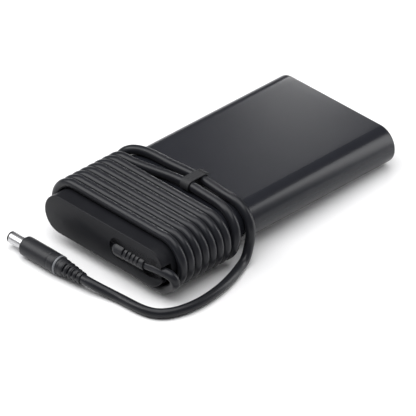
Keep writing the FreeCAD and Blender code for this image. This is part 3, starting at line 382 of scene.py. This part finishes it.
def skin(rings, cap_start=False, cap_end=False):
    """Quads between successive rings, with optional fans over the ends."""
    count, size, _ = rings.shape
    verts = [rings.reshape(-1, 3)]
    i = np.arange(count - 1)[:, None] * size
    j = np.arange(size)[None, :]
    k = (j + 1) % size
    quads = np.stack([i + j, i + k, i + size + k, i + size + j], -1)
    faces = quads.reshape(-1, 4)[:, ::-1].tolist()
    centre = count * size
    if cap_start:
        verts.append(rings[0].mean(0)[None])
        faces += [(centre, b, (b + 1) % size) for b in range(size)]
        centre += 1
    if cap_end:
        verts.append(rings[-1].mean(0)[None])
        last = (count - 1) * size
        faces += [(centre, last + (b + 1) % size, last + b) for b in range(size)]
    return np.vstack(verts), faces


def circle_x(x, radius, angles):
    """Ring round the X axis; radius may vary with the angle."""
    return np.c_[np.full(len(angles), x), radius * np.cos(angles), radius * np.sin(angles)]


def lathe(profile, segments):
    """Rings of revolution about +X from (x, r) points."""
    angles = turn_angles(segments)
    return np.stack([circle_x(x, r, angles) for x, r in profile])


def round_corners(points, radii, steps, reach):
    """Rounds the inner corners of an open line; reach limits each cut to a share of a side."""
    points = [np.array(p, float) for p in points]
    out = [points[0]]
    for before, corner, after, radius in zip(points, points[1:], points[2:], radii):
        to_before, to_after = before - corner, after - corner
        len_before, len_after = np.linalg.norm(to_before), np.linalg.norm(to_after)
        cut = min(radius, len_before * reach, len_after * reach)
        start = corner + to_before / len_before * cut
        end = corner + to_after / len_after * cut
        for s in np.linspace(0, 1, steps + 1):
            out.append((1 - s) ** 2 * start + 2 * s * (1 - s) * corner + s**2 * end)
    out.append(points[-1])
    return np.array(out)


def rounded(profile, radius, steps):
    """Rounds a profile of (x, r) or (x, r, corner radius); radius is the default."""
    radii = [p[2] if len(p) > 2 else radius for p in profile[1:-1]]
    return round_corners([p[:2] for p in profile], radii, steps, reach=0.45)


# ------------------------------------------------------------------ flat outlines
def arc(x, z, radius, start, end, steps):
    """Points on an arc between two angles in degrees."""
    angles = np.radians(np.linspace(start, end, steps + 1))
    return np.c_[x + radius * np.cos(angles), z + radius * np.sin(angles)]


def dedupe(outline, tolerance=1e-5):
    keep = [outline[0]]
    for point in outline[1:]:
        if np.linalg.norm(point - keep[-1]) > tolerance:
            keep.append(point)
    if np.linalg.norm(keep[0] - keep[-1]) < tolerance:
        keep.pop()
    return np.array(keep)


def resample(outline, step):
    """Adds points along long straight stretches of a closed outline."""
    out = []
    for a, b in zip(outline, np.roll(outline, -1, axis=0)):
        pieces = max(1, int(np.linalg.norm(b - a) / step))
        for s in range(pieces):
            out.append(a + (b - a) * s / pieces)
    return np.array(out)


def housing_outline(arc_steps, step):
    return resample(dedupe(np.vstack([arc(SIDE_X, SIDE_R, SIDE_R, -90, 90, arc_steps),
                                      arc(-SIDE_X, SIDE_R, SIDE_R, 90, 270, arc_steps)])), step)


def offset_in(outline, distance):
    """Moves a counter-clockwise closed outline inwards."""
    edge_in = outline - np.roll(outline, 1, axis=0)
    edge_out = np.roll(outline, -1, axis=0) - outline
    edge_in /= np.linalg.norm(edge_in, axis=1)[:, None]
    edge_out /= np.linalg.norm(edge_out, axis=1)[:, None]
    normal_in = np.c_[-edge_in[:, 1], edge_in[:, 0]]
    normal_out = np.c_[-edge_out[:, 1], edge_out[:, 0]]
    miter = normal_in + normal_out
    miter /= np.linalg.norm(miter, axis=1)[:, None]
    cosine = np.clip((miter * normal_in).sum(1), 0.5, 1)
    return outline + miter * (distance / cosine)[:, None]


def at_y(outline, y):
    """Stands an (x, z) outline up at depth y."""
    return np.c_[outline[:, 0], np.full(len(outline), y), outline[:, 1]]


def wall(start_a, start_b, count):
    """Quads between two closed loops, given their first vertex numbers."""
    ring = [(i, (i + 1) % count) for i in range(count)]
    return [(start_a + i, start_a + j, start_b + j, start_b + i) for i, j in ring]


def fill(outer, hole):
    """Triangles between an outline and a hole; indexes run on through both."""
    return tessellate_polygon([[Vector((p[0], p[1], 0)) for p in loop]
                               for loop in (outer, hole)])


# ------------------------------------------------------------------ front end cap
# A channel for the cable boot runs from a half-round end left of centre out to the right side.
CHANNEL_X, CHANNEL_Z, CHANNEL_R = 11.9, 13.3, 6.3  # the half-round end
CHANNEL_BOTTOM, CHANNEL_TOP = CHANNEL_Z - CHANNEL_R, CHANNEL_Z + CHANNEL_R
CHANNEL_MID_X = 30.0
MOUTH_BOTTOM, MOUTH_TOP = 8.9, 17.5  # where the channel breaks through the rounded side
CHANNEL_END = arc(CHANNEL_X, CHANNEL_Z, CHANNEL_R, -90, -270, 30)


def front_face_outline():
    def mouth(z):
        """X on the rounded side at height z, and its angle in degrees."""
        x = SIDE_X + math.sqrt(SIDE_R**2 - (z - SIDE_R) ** 2)
        return x, math.degrees(math.asin((z - SIDE_R) / SIDE_R))

    low_x, low_angle = mouth(MOUTH_BOTTOM)
    top_x, top_angle = mouth(MOUTH_TOP)
    # the outermost point of each line only sets the direction of the first rounding
    low = round_corners([arc(SIDE_X, SIDE_R, SIDE_R, -90, low_angle, 8)[-2],
                         (low_x, MOUTH_BOTTOM), (43.2, 10.0), (39.8, CHANNEL_BOTTOM),
                         (CHANNEL_MID_X, CHANNEL_BOTTOM)],
                        radii=[0.9, 2.4, 2.4], steps=7, reach=0.48)[1:]
    top = round_corners([(CHANNEL_MID_X, CHANNEL_TOP), (40.2, CHANNEL_TOP), (43.4, 17.4),
                         (top_x, MOUTH_TOP),
                         arc(SIDE_X, SIDE_R, SIDE_R, top_angle, 90, 8)[1]],
                        radii=[2.6, 2.6, 0.9], steps=7, reach=0.48)[:-1]
    outline = np.vstack([arc(SIDE_X, SIDE_R, SIDE_R, -90, low_angle, 18)[:-1],
                         low, CHANNEL_END, top,
                         arc(SIDE_X, SIDE_R, SIDE_R, top_angle, 90, 18)[1:],
                         arc(-SIDE_X, SIDE_R, SIDE_R, 90, 270, 40)])
    return resample(dedupe(outline, 1e-3), 2.5)


def build_front_face(edge=0.55, edge_steps=5):
    """Slab with the channel cut through it and a rounded front edge."""
    outline = front_face_outline()
    count = len(outline)
    loops = []
    for k in range(edge_steps + 1):
        angle = k / edge_steps * math.pi / 2
        loops.append(at_y(offset_in(outline, edge * (1 - math.sin(angle))),
                          FRONT_Y + edge * (1 - math.cos(angle))))
    loops.append(at_y(outline, CAP_FACE_BACK))
    faces = []
    for j in range(len(loops) - 1):
        faces += wall(j * count, (j + 1) * count, count)
    faces.append(tuple(range(count - 1, -1, -1)))
    back = (len(loops) - 1) * count
    faces.append(tuple(range(back, back + count)))
    make("front_cap_face", housing_to_row(np.vstack(loops)), faces, CAP, "adapter",
         "front_end_cap", sharp=28)


def build_front_back(back_y=-84.02, floor_y=-89.0):
    """The cap behind the face, with a deeper recess for the boot."""
    outer = housing_outline(40, 2.5)
    # the right end of the recess is rounded too
    right_end = round_corners([(CHANNEL_MID_X, CHANNEL_TOP), (39.0, CHANNEL_TOP),
                               (39.0, CHANNEL_BOTTOM), (CHANNEL_MID_X, CHANNEL_BOTTOM)],
                              radii=[5.5, 5.5], steps=10, reach=0.48)
    hole = dedupe(np.vstack([CHANNEL_END, right_end]), 1e-3)
    outer_count, hole_count = len(outer), len(hole)
    back = outer_count + hole_count
    floor_start = back + outer_count
    faces = [tuple(t) for t in fill(outer, hole)]
    faces += wall(0, back, outer_count)
    faces += wall(outer_count, floor_start, hole_count)
    faces.append(tuple(range(floor_start, floor_start + hole_count)))
    faces.append(tuple(range(back, back + outer_count)))
    verts = np.vstack([at_y(outer, CAP_FACE_BACK), at_y(hole, CAP_FACE_BACK),
                       at_y(outer, back_y), at_y(hole, floor_y)])
    make("front_cap_back", housing_to_row(verts), faces, CAP, "adapter",
         "front_end_cap", sharp=28)


# ------------------------------------------------------------------ housing sleeve
SLEEVE = housing_outline(56, 4.0)
ROLL_R = 0.9  # rolled rear edge


def build_sleeve():
    # stations: (y, distance in from the outer surface), along the outside and back inside
    stations = [(-84.0, 2.2), (-84.0, 0.35), (-83.65, 0.0)]
    stations += [(y, 0.0) for y in np.linspace(-80, 98.6, 24)]
    for k in range(1, 9):
        angle = k / 8 * math.pi / 2
        stations.append((99.1 + ROLL_R * math.sin(angle), ROLL_R * (1 - math.cos(angle))))
    stations += [(REAR_Y, 1.75), (99.75, 2.05), (97.2, 2.12), (-83.0, 2.2)]
    verts = np.vstack([at_y(offset_in(SLEEVE, inset), y) for y, inset in stations])
    count = len(SLEEVE)
    faces = []
    for j in range(len(stations)):
        faces += wall(j * count, (j + 1) % len(stations) * count, count)
    make("housing_shell", housing_to_row(verts), faces, SHELL, "adapter",
         "housing_sleeve", sharp=32)


# ------------------------------------------------------------------ rear end cap
INLET_WIDTH, INLET_HEIGHT = 27.4, 19.6
INLET_GAP = 0.05      # clearance round the inlet
INLET_CHAMFER = 4.5   # top corners
INLET_CORNER_R = 0.9


def inlet_outline():
    x = INLET_WIDTH / 2 + INLET_GAP
    bottom = SIDE_R - INLET_HEIGHT / 2 - INLET_GAP
    top = SIDE_R + INLET_HEIGHT / 2 + INLET_GAP
    corners = [(0, bottom), (x, bottom), (x, top - INLET_CHAMFER), (x - INLET_CHAMFER, top),
               (-x + INLET_CHAMFER, top), (-x, top - INLET_CHAMFER), (-x, bottom), (0, bottom)]
    return dedupe(round_corners(corners, [INLET_CORNER_R] * 6, steps=5, reach=0.48), 1e-3)


def build_rear_cap():
    outer, hole = offset_in(SLEEVE, 2.3), inlet_outline()
    outer_face, hole_face = offset_in(outer, 0.3), offset_in(hole, -0.35)  # bevelled edges
    loops = [at_y(outer_face, 99.85), at_y(hole_face, 99.85), at_y(outer, 99.55),
             at_y(hole, 99.5), at_y(outer, 97.0), at_y(hole, 97.0)]
    starts = np.cumsum([0] + [len(loop) for loop in loops])
    faces = [tuple(reversed(t)) for t in fill(outer_face, hole_face)]
    for a, b in ((0, 2), (2, 4), (1, 3), (3, 5)):
        faces += wall(starts[a], starts[b], len(loops[a]))
    # the last two loops are adjacent, so the triangle indexes only need shifting
    faces += [tuple(starts[4] + i for i in t) for t in fill(outer, hole)]
    make("rear_cap_plate", housing_to_row(np.vstack(loops)), faces, DARK, "adapter",
         "rear_end_cap", sharp=30)


# ------------------------------------------------------------------ cable
STRAP_CABLE_Z = 29.72  # cable centre line where the strap gathers it
COIL_END = (54.0, STRAP_TURN_2 + 6.2, 6.5)
RIGHT, LEFT = 1, -1

# Start of the cable: out of the boot, round the right side and under the housing.
# Columns: x, y beyond the boot axis, z (housing frame)
EXIT_POINTS = [
    (34.2, 0, CABLE_EXIT_Z), (38.0, 0, 12.45), (42.3, 0, 13.2), (45.8, 0.1, 13.35),
    (51.2, 0.8, 13.1), (54.3, 1.8, 11.5), (55.25, 2.6, 8.6), (52.2, 3.7, 3.6),
    (46.4, 4.4, -1.1), (SIDE_X, 4.7, WRAP_BOTTOM),
]
# The loose run from the housing to the plug. Columns: x, y, z (table frame)
TAIL_POINTS = [
    (57.4, -41.4, 3.02), (59.9, -48.0, 3.02), (62.4, -56.0, 3.02), (64.6, -66.0, 3.02),
    (65.7, -76.0, 3.02), (65.8, -85.0, 3.02), (64.9, -92.4, 3.02), (63.2, -98.8, 3.02),
    (60.5, -104.6, 3.02), (57.0, -109.0, 3.02), (52.0, -112.2, 3.02), (46.6, -113.7, 3.02),
    (38.9, -114.5, 3.02), (28.7, -115.2, 3.1), (19.6, -116.9, 4.1), (12.0, -118.9, 5.65),
    (5.1, PLUG_Y, PLUG_Z), (0.0, PLUG_Y, PLUG_Z),
]


def beside(side, turn_y, stations):
    """Points against a rounded side; stations are (degrees above middle, y, extra gap)."""
    out = []
    for degrees, y, gap in stations:
        angle = math.radians(degrees)
        out.append((side * (SIDE_X + (WRAP_R + gap) * math.cos(angle)), turn_y + y,
                    SIDE_R + (WRAP_R + gap) * math.sin(angle)))
    return out


def side_arc(side, y):
    """Half turn round a side: up the left, down the right."""
    angles = np.linspace(side * math.pi / 2, -side * math.pi / 2, 41)
    return np.c_[side * (SIDE_X + WRAP_R * np.cos(angles)), np.full(41, y),
                 SIDE_R + WRAP_R * np.sin(angles)]


def cross_under(y0, y1, middle_y, start_dir=(-1, 0, 0)):
    """From right to left below the housing."""
    return spline([(SIDE_X, y0, WRAP_BOTTOM), (0.0, middle_y, WRAP_BOTTOM),
                   (-SIDE_X, y1, WRAP_BOTTOM)], start_dir, (-1, 0, 0), 2.0)


def coil_path():
    """The wound part, in the housing frame."""
    exit_points = [(x, CABLE_EXIT_Y + y, z) for x, y, z in EXIT_POINTS]
    segments = [np.array([(31.0, CABLE_EXIT_Y, CABLE_EXIT_Z),
                          (32.6, CABLE_EXIT_Y, CABLE_EXIT_Z)]),
                spline(exit_points, (1, 0, 0), (-1, 0.03, 0), 0.7),
                cross_under(exit_points[-1][1], WRAP_Y[0], -90.3, (-1, 0.03, 0))]
    for n, y in enumerate(WRAP_Y):
        segments.append(side_arc(LEFT, y))
        if n < len(WRAP_Y) - 1:
            next_y = WRAP_Y[n + 1]
            segments.append(line((-SIDE_X, y, WRAP_TOP), (SIDE_X, y, WRAP_TOP), 2.5))
            segments.append(side_arc(RIGHT, y))
            segments.append(cross_under(y, next_y, (y + next_y) / 2))

    # first turn through the strap: over the top, down the right side and underneath
    y = STRAP_TURN_1
    side_middle = beside(RIGHT, y, [(0, 1.4, 0.1)])
    over = [(-SIDE_X, y, WRAP_TOP), (-16.0, y + 3.0, WRAP_TOP + 0.25),
            (2.5, y + 5.75, STRAP_CABLE_Z), (14.5, y + 5.8, STRAP_CABLE_Z),
            (26.0, y + 5.65, WRAP_TOP + 0.75)]
    over += beside(RIGHT, y, [(88, 5.1, 0.15), (67.5, 4.3, 0.12), (45, 3.4, 0.12),
                              (22.5, 2.35, 0.12)])
    segments.append(spline(over + side_middle, (1, 0, 0), (0, -0.2, -1), 1.0))
    down = side_middle + beside(RIGHT, y, [(-22.5, 0.85, 0.1), (-45, 0.5, 0.1),
                                           (-67.5, 0.3, 0.08)])
    segments.append(spline(down + [(SIDE_X, y + 0.2, WRAP_BOTTOM)],
                           (0, -0.2, -1), (-1, 0, 0), 0.8))
    segments.append(cross_under(y + 0.2, STRAP_TURN_2, (y + STRAP_TURN_2) / 2 + 0.1))

    # second turn: up the left side, through the strap and off the right side
    y = STRAP_TURN_2
    points = [(-SIDE_X, y, WRAP_BOTTOM)]
    points += beside(LEFT, y, [(-67.5, 0.2, 0.08), (-45, 0.5, 0.1), (-22.5, 1.0, 0.12),
                               (0, 1.35, 0.12), (22.5, 1.9, 0.12), (45, 2.7, 0.12),
                               (67.5, 4.2, 0.12)])
    points += [(-SIDE_X, y + 6.2, WRAP_TOP + 0.08), (-16.0, y + 8.5, WRAP_TOP + 0.3),
               (2.5, y + 9.1, STRAP_CABLE_Z), (14.5, y + 9.12, STRAP_CABLE_Z),
               (SIDE_X - 7, y + 8.75, WRAP_TOP + 0.35)]
    points += beside(RIGHT, y, [(76, 8.35, 0.12), (50, 8.05, 0.12), (28, 7.75, 0.14),
                                (6, 7.3, 0.35)])
    segments.append(spline(points + [COIL_END], (-1, 0, 0), (1.2, -4, -9), 0.8))
    return join(*segments)


def cable_path():
    """The whole cable from boot to plug, in the table frame."""
    coil = housing_to_table(coil_path())
    y = STRAP_TURN_2
    lead = housing_to_table([(54.9, y + 3.8, 1.4), (56.1, y + 0.3, -2.0)])
    start, toward = housing_to_table([COIL_END, (55.2, y + 2.2, -2.5)])
    run = spline([coil[-1]] + list(lead) + TAIL_POINTS, toward - start, (-1, 0, 0), 0.7)
    return join(coil, run)


def build_cable():
    """One tube cut into stiff pieces, with bend pieces between them."""
    path = cable_path()
    rings = tube_rings(path, CABLE_R, 24)
    last = len(path) - 1
    travelled = np.r_[0, np.cumsum(np.linalg.norm(np.diff(path, axis=0), axis=1))]

    def nearest(joint):
        position = row_to_table(joints[joint]["pos_m"])[0]
        return int(np.argmin(np.linalg.norm(path - position, axis=1)))

    def along(index, distance):
        """Path index a distance in mm further along."""
        return int(np.argmin(np.abs(travelled - (travelled[index] + distance))))

    def piece(name, start, end, body, replaced=None, cap_start=False, cap_end=False):
        verts, faces = skin(rings[start:end + 1], cap_start, cap_end)
        return make(name, table_to_row(verts), faces, JACKET, body, replaced,
                    sharp=80, tidy=False)

    half_bend = 11.0
    swing, bend, plug = [nearest(j) for j in ("tail_swing", "tail_bend", "plug_bend")]
    swing_start, swing_end = along(swing, -half_bend), along(swing, half_bend)
    bend_start, bend_end = along(bend, -half_bend), along(bend, half_bend)
    plug_start = along(plug, -9.0)
    piece("cable_wound", 0, swing_start, "adapter", "cable_coil", cap_start=True)
    piece("cable_run_rear", swing_end, bend_start, "tail_rear", "cable_tail_rear")
    piece("cable_run_front", bend_end, plug_start, "tail_front", "cable_tail_front")
    bends = (("cable_bend_rear", swing_start, swing_end, "adapter", "tail_rear"),
             ("cable_bend_front", bend_start, bend_end, "tail_rear", "tail_front"),
             ("cable_bend_plug", plug_start, last, "tail_front", "plug"))
    for name, start, end, body_a, body_b in bends:
        obj = piece(name, start, end, None, cap_end=(end == last))
        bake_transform(obj)


# ------------------------------------------------------------------ boots
def boot_rings(profile, windows, angles, segments, floor_r, half_angle, soft_angle):
    """Turned boot with windows cut part-way in, down to floor_r.

    windows are (x0, x1) spans, repeated at each of the angles.
    """
    # a slight shift per point keeps x rising where the profile is upright
    xs = [p[0] + 1e-4 * i for i, p in enumerate(profile)]
    radii = np.array([p[1] for p in profile])
    edge = 0.16
    stations = set(xs)
    for x0, x1 in windows:
        stations.update((x0, x0 + edge, (x0 + x1) / 2, x1 - edge, x1))
    around = turn_angles(segments)
    rings = []
    for x in sorted(stations):
        full = float(np.interp(x, np.array(xs), radii))
        radius = np.full(segments, full)
        for x0, x1 in windows:
            if x0 + edge * 0.5 < x < x1 - edge * 0.5:
                for angle in angles:
                    away = np.abs((around - angle + math.pi) % (2 * math.pi) - math.pi)
                    depth = np.clip((half_angle - away) / soft_angle, 0, 1)
                    radius = np.minimum(radius, full - (full - floor_r) * depth)
        rings.append(circle_x(x, radius, around))
    return np.stack(rings)


def build_output_boot():
    start_x, length, pitch = 7.6, 26.5, 3.1
    # columns: x from the closed end, radius, corner radius
    profile = [(0, 0), (0, 1.3, 0.5), (0.35, 2.6, 0.9), (1.2, 3.75, 1.0), (3.0, 4.6, 1.6),
               (9.2, 4.6, 1.0), (9.9, 4.3, 0.5)]
    for k in range(4):
        x = 10.9 + pitch * k
        low, high = 4.16 - 0.05 * k, 4.38 - 0.05 * k
        profile += [(x + 0.2, low, 0.3), (x + 0.9, high, 0.5), (x + 1.75, high, 0.5),
                    (x + 2.5, low, 0.3)]
    profile += [(length - 1.9, 4.1, 0.4), (length - 1.0, 4.1, 0.4), (length, 4.0, 0.5),
                (length, 3.0), (length - 0.2, 0)]
    outside = [p for p in rounded(profile, 0.3, 5) if p[0] < length - 0.001 and p[1] > 0.01]
    windows = [(9.55 + pitch * k, 10.75 + pitch * k) for k in range(5)]
    segments = 96
    rings = boot_rings(outside, windows, [WINDOW_ANGLE, WINDOW_ANGLE + math.pi], segments,
                       floor_r=3.45, half_angle=0.80, soft_angle=0.16)
    mouth = lathe([(length + 0.002, 3.7), (length + 0.003, 3.05), (length - 0.8, 3.0)], segments)
    rings = np.concatenate([lathe([(0.0, 0.02)], segments), rings, mouth])
    verts, faces = skin(rings, cap_start=True, cap_end=True)
    verts = verts + np.array([start_x, CABLE_EXIT_Y, CABLE_EXIT_Z])
    make("output_boot", housing_to_row(verts), faces, BOOT, "adapter",
         "output_strain_relief", sharp=32)


# ------------------------------------------------------------------ plug
# Turned about X, with x = 0 at the nose and rising towards the cable.
plug_mount = np.array(mounts["plug_barrel"]["pos_m"]) * 1000.0
PLUG_ORIGIN = np.array([plug_mount[0] + SHIFT_X - 6.7, plug_mount[1] + SHIFT_Y, plug_mount[2]])
NOSE_LENGTH = 1.1
GRIP_X = 12.0 + 0.02
RING_X = GRIP_X + 29.0
RING_WIDTH = 1.6
PLUG_BOOT_X = RING_X + RING_WIDTH + 0.02
PLUG_BOOT_LENGTH = 18.8


def plug_part(name, replaced, mat, rings, cap_start=False):
    verts, faces = skin(rings, cap_start)
    make(name, table_to_row(verts + PLUG_ORIGIN), faces, mat, "plug", replaced, sharp=30)


def plug_boot_rings():
    x0, pitch = PLUG_BOOT_X, 3.38
    end = x0 + PLUG_BOOT_LENGTH
    profile = [(x0, 3.0), (x0, 5.2, 0.3), (x0 + 0.3, 5.5, 0.4), (x0 + 1.6, 5.42, 0.3),
               (x0 + 2.0, 5.28, 0.2), (x0 + 2.4, 5.4, 0.3), (x0 + 4.7, 5.3, 0.5)]
    for k in range(3):
        x = x0 + 5.05 + pitch * k
        r = 5.12 - 0.42 * k
        profile += [(x, r - 0.15, 0.3), (x + 1.6, r - 0.18, 0.3), (x + 2.1, r, 0.4),
                    (x + 2.9, r - 0.05, 0.4)]
    profile += [(end - 3.5, 3.95, 0.4), (end - 1.9, 3.95, 0.3), (end - 0.3, 3.8, 0.3),
                (end, 3.5, 0.2), (end, 2.95)]
    windows = [(x0 + 5.35 + pitch * k, x0 + 6.75 + pitch * k) for k in range(4)]
    angles = [WINDOW_ANGLE + quarter * math.pi / 2 for quarter in (0, 1, 2, -1)]
    return boot_rings(rounded(profile, 0.2, 4), windows, angles, 120, floor_r=3.28,
                      half_angle=0.62, soft_angle=0.10)


def build_plug():
    # profile columns: x, radius, corner radius where it isn't the default
    barrel = [(13.0, 3.24), (NOSE_LENGTH + 0.02, 3.24), (NOSE_LENGTH + 0.02, 3.50, 0.1),
              (NOSE_LENGTH + 0.10, 3.62), (NOSE_LENGTH + 0.3, 3.70, 0.2), (11.6, 3.70),
              (13.0, 3.70)]
    nose = [(9.0, 2.62), (0.4, 2.62), (0.0, 2.95, 0.2), (0.0, 3.35, 0.2), (0.12, 3.52, 0.15),
            (NOSE_LENGTH, 3.62), (NOSE_LENGTH, 3.2)]
    contact = [(13.5, 0.02), (13.5, 2.5), (0.7, 2.5), (0.55, 2.6), (0.7, 2.64), (9.0, 2.64)]
    pin = [(2.9, 0.01), (3.0, 0.16), (3.6, 0.30), (13.5, 0.30)]
    grip = [(GRIP_X, 3.4), (GRIP_X, 3.74, 0.05), (GRIP_X + 0.25, 3.9, 0.2),
            (GRIP_X + 0.3, 5.35, 0.7), (GRIP_X + 1.3, 6.15, 1.1), (GRIP_X + 4.0, 6.22, 1.0),
            (RING_X - 6.2, 6.22, 1.0), (RING_X - 5.4, 6.06, 0.4), (RING_X - 4.6, 6.20, 0.6),
            (RING_X - 1.0, 6.16, 0.5), (RING_X - 0.1, 5.95, 0.3), (RING_X, 5.6, 0.2),
            (RING_X, 3.0)]
    ring_end = RING_X + RING_WIDTH
    ring = [(RING_X - 0.1, 3.0), (RING_X - 0.05, 5.5), (RING_X + 0.1, 6.05, 0.2),
            (RING_X + 0.4, 6.22, 0.3), (ring_end - 0.2, 6.16, 0.3),
            (ring_end + 0.05, 5.9, 0.2), (ring_end + 0.05, 3.0)]
    plug_part("plug_barrel_shell", "plug_barrel", NICKEL,
              lathe(rounded(barrel, 0.12, 4), 72))
    plug_part("plug_nose", "plug_insulator", NOSE,
              lathe(rounded(nose, 0.15, 4), 72))
    plug_part("plug_contact_tube", "plug_inner_contact", GOLD,
              lathe(rounded(contact, 0.08, 3), 56))
    plug_part("plug_id_pin", "plug_center_pin", NICKEL,
              lathe(rounded(pin, 0.15, 3), 20), cap_start=True)
    plug_part("plug_grip_body", "plug_grip", BOOT,
              lathe(rounded(grip, 0.3, 6), 96))
    plug_part("plug_ring", "plug_light_ring", RING,
              lathe(rounded(ring, 0.2, 5), 96))
    plug_part("plug_boot", "plug_strain_relief", BOOT, plug_boot_rings())


# ------------------------------------------------------------------ strap
STRAP_X, STRAP_WIDTH = 5.2, 7.0  # left edge and width
STRAP_THICKNESS = 0.7
STRAP_Z = 29.8
STRAP_INNER_R = CABLE_R + 0.25
STRAP_FRONT_Y = STRAP_TURN_1 + 5.87  # centres of the loop's two rounded ends
STRAP_REAR_Y = STRAP_TURN_2 + 9.13
TONGUE_SLOPE = math.radians(30.0)


def strip(name, middle, thickness, closed, body, replaced):
    """Flat strip along a (y, z) centre line, with rounded long edges."""
    if closed:
        middle = middle[:-1]
        tangents = np.roll(middle, -1, axis=0) - np.roll(middle, 1, axis=0)
    else:
        tangents = np.gradient(middle, axis=0)
    tangents = tangents / np.linalg.norm(tangents, axis=1)[:, None]
    normals = np.c_[-tangents[:, 1], tangents[:, 0]]
    edge = 0.25
    x, z = STRAP_WIDTH / 2 - edge, thickness / 2 - edge
    section = np.vstack([arc(corner_x, corner_z, edge, start, start + 90, 4)
                         for corner_x, corner_z, start in
                         ((x, z, 0), (-x, z, 90), (-x, -z, 180), (x, -z, 270))])
    across = STRAP_X + STRAP_WIDTH / 2 + section[:, 0]
    rings = np.stack([np.c_[across, m[0] + n[0] * section[:, 1], m[1] + n[1] * section[:, 1]]
                      for m, n in zip(middle, normals)])
    if closed:
        rings = np.concatenate([rings, rings[:1]])
    verts, faces = skin(rings, cap_start=not closed, cap_end=not closed)
    make(name, housing_to_row(verts), faces, STRAP, body, replaced, sharp=40)


def build_strap():
    radius = STRAP_INNER_R + STRAP_THICKNESS / 2
    front, rear, z = STRAP_FRONT_Y, STRAP_REAR_Y, STRAP_Z
    loop = np.vstack([arc(rear, z, radius, -90, 90, 24),
                      line((rear, z + radius), (front, z + radius), 1.0)[1:],
                      arc(front, z, radius, 90, 270, 24)[1:],
                      line((front, z - radius), (rear, z - radius), 1.0)[1:]])
    strip("strap_loop", loop, STRAP_THICKNESS, True, "adapter", "strap_band")

    # the free end lies tangent to the loop's rear end, just outside it
    reach = STRAP_INNER_R + STRAP_THICKNESS + 0.39
    sin_slope, cos_slope = math.sin(TONGUE_SLOPE), math.cos(TONGUE_SLOPE)
    along = np.linspace(-0.3, 3.5, 14)
    tongue = np.c_[rear + reach * sin_slope + cos_slope * along,
                   z + reach * cos_slope - sin_slope * along]
    strip("strap_free_end", tongue, 0.68, False, "tongue", "strap_tongue")


# ------------------------------------------------------------------ stage
def build_floor(half=0.9, z=-0.0002):
    mesh = bpy.data.meshes.new("floor")
    mesh.from_pydata([(-half, -half, z), (half, -half, z), (half, half, z), (-half, half, z)],
                     [], [(0, 1, 2, 3)])
    floor = bpy.data.objects.new("floor", mesh)
    bpy.context.scene.collection.objects.link(floor)
    mat = bpy.data.materials.new("studio_floor")
    mat.use_nodes = True
    bsdf = mat.node_tree.nodes["Principled BSDF"]
    bsdf.inputs["Base Color"].default_value = (0.90, 0.90, 0.905, 1)
    bsdf.inputs["Roughness"].default_value = 0.35
    bsdf.inputs["Specular IOR Level"].default_value = 0.35
    mesh.materials.append(mat)


def build_world():
    """Bright backdrop for the camera, dim fill light for everything else."""
    world = bpy.data.worlds.new("studio")
    bpy.context.scene.world = world
    world.use_nodes = True
    tree = world.node_tree
    tree.nodes.clear()
    add, link = tree.nodes.new, tree.links.new

    def background(color, strength):
        node = add("ShaderNodeBackground")
        node.inputs[0].default_value = (*color, 1)
        node.inputs[1].default_value = strength
        return node.outputs[0]

    output = add("ShaderNodeOutputWorld")
    backdrop = background(color=(1, 1, 1), strength=1.15)
    ambient = background(color=(1.0, 1.0, 1.02), strength=0.14)
    mix = add("ShaderNodeMixShader")
    light_path = add("ShaderNodeLightPath")
    link(light_path.outputs["Is Camera Ray"], mix.inputs[0])
    link(ambient, mix.inputs[1])
    link(backdrop, mix.inputs[2])
    link(mix.outputs[0], output.inputs[0])


def area_light(name, location, target, size, power, size_y=None):
    light = bpy.data.lights.new(name, "AREA")
    light.energy = power
    light.size = size
    if size_y:
        light.shape = "RECTANGLE"
        light.size_y = size_y
    obj = bpy.data.objects.new(name, light)
    bpy.context.scene.collection.objects.link(obj)
    obj.location = location
    obj.rotation_mode = "QUATERNION"
    obj.rotation_quaternion = (Vector(target) - Vector(location)).to_track_quat("-Z", "Y")


def build_lights():
    area_light("overhead_soft", location=(0.0, -0.15, 1.5), target=(0, 0, 0), size=1.6,
               power=27.0)
    area_light("back_left_soft", location=(-0.376, 0.497, 0.238), target=(-0.045, 0.11, 0.025),
               size=0.07, power=0.29)
    area_light("right_soft", location=(0.282, 0.390, 0.190), target=(0.045, 0.12, 0.015),
               size=0.16, power=1.05, size_y=0.38)
    area_light("front_soft", location=(-0.75, -0.55, 0.75), target=(0, -0.08, 0.02), size=0.8,
               power=9.0)


def build_camera():
    """A long lens, high and to the front right of the adapter."""
    azimuth, elevation = math.radians(44.5246), math.radians(35.2358)
    distance = 3617.508742                   # mm
    target = np.array([-1.176, -9.7913, 0])  # mm, table frame
    backward = np.array([math.sin(azimuth) * math.cos(elevation),
                         -math.cos(azimuth) * math.cos(elevation), math.sin(elevation)])
    data = bpy.data.cameras.new("camera")
    data.sensor_width = 36.0
    data.lens = 519.230769
    data.clip_start, data.clip_end = 0.5, 20.0
    camera = bpy.data.objects.new("camera", data)
    bpy.context.scene.collection.objects.link(camera)
    camera.rotation_mode = "QUATERNION"
    camera.location = Vector(table_to_row(target + distance * backward)[0])
    camera.rotation_quaternion = (-Vector(backward)).to_track_quat("-Z", "Y")
    bpy.context.scene.camera = camera


dress_cad_pieces()
build_front_face()
build_front_back()
build_sleeve()
build_rear_cap()
build_cable()
build_output_boot()
build_plug()
build_strap()
build_floor()
build_world()
build_lights()
build_camera()
bpy.context.scene.view_settings.view_transform = "Standard"
bpy.context.scene.view_settings.look = "None"
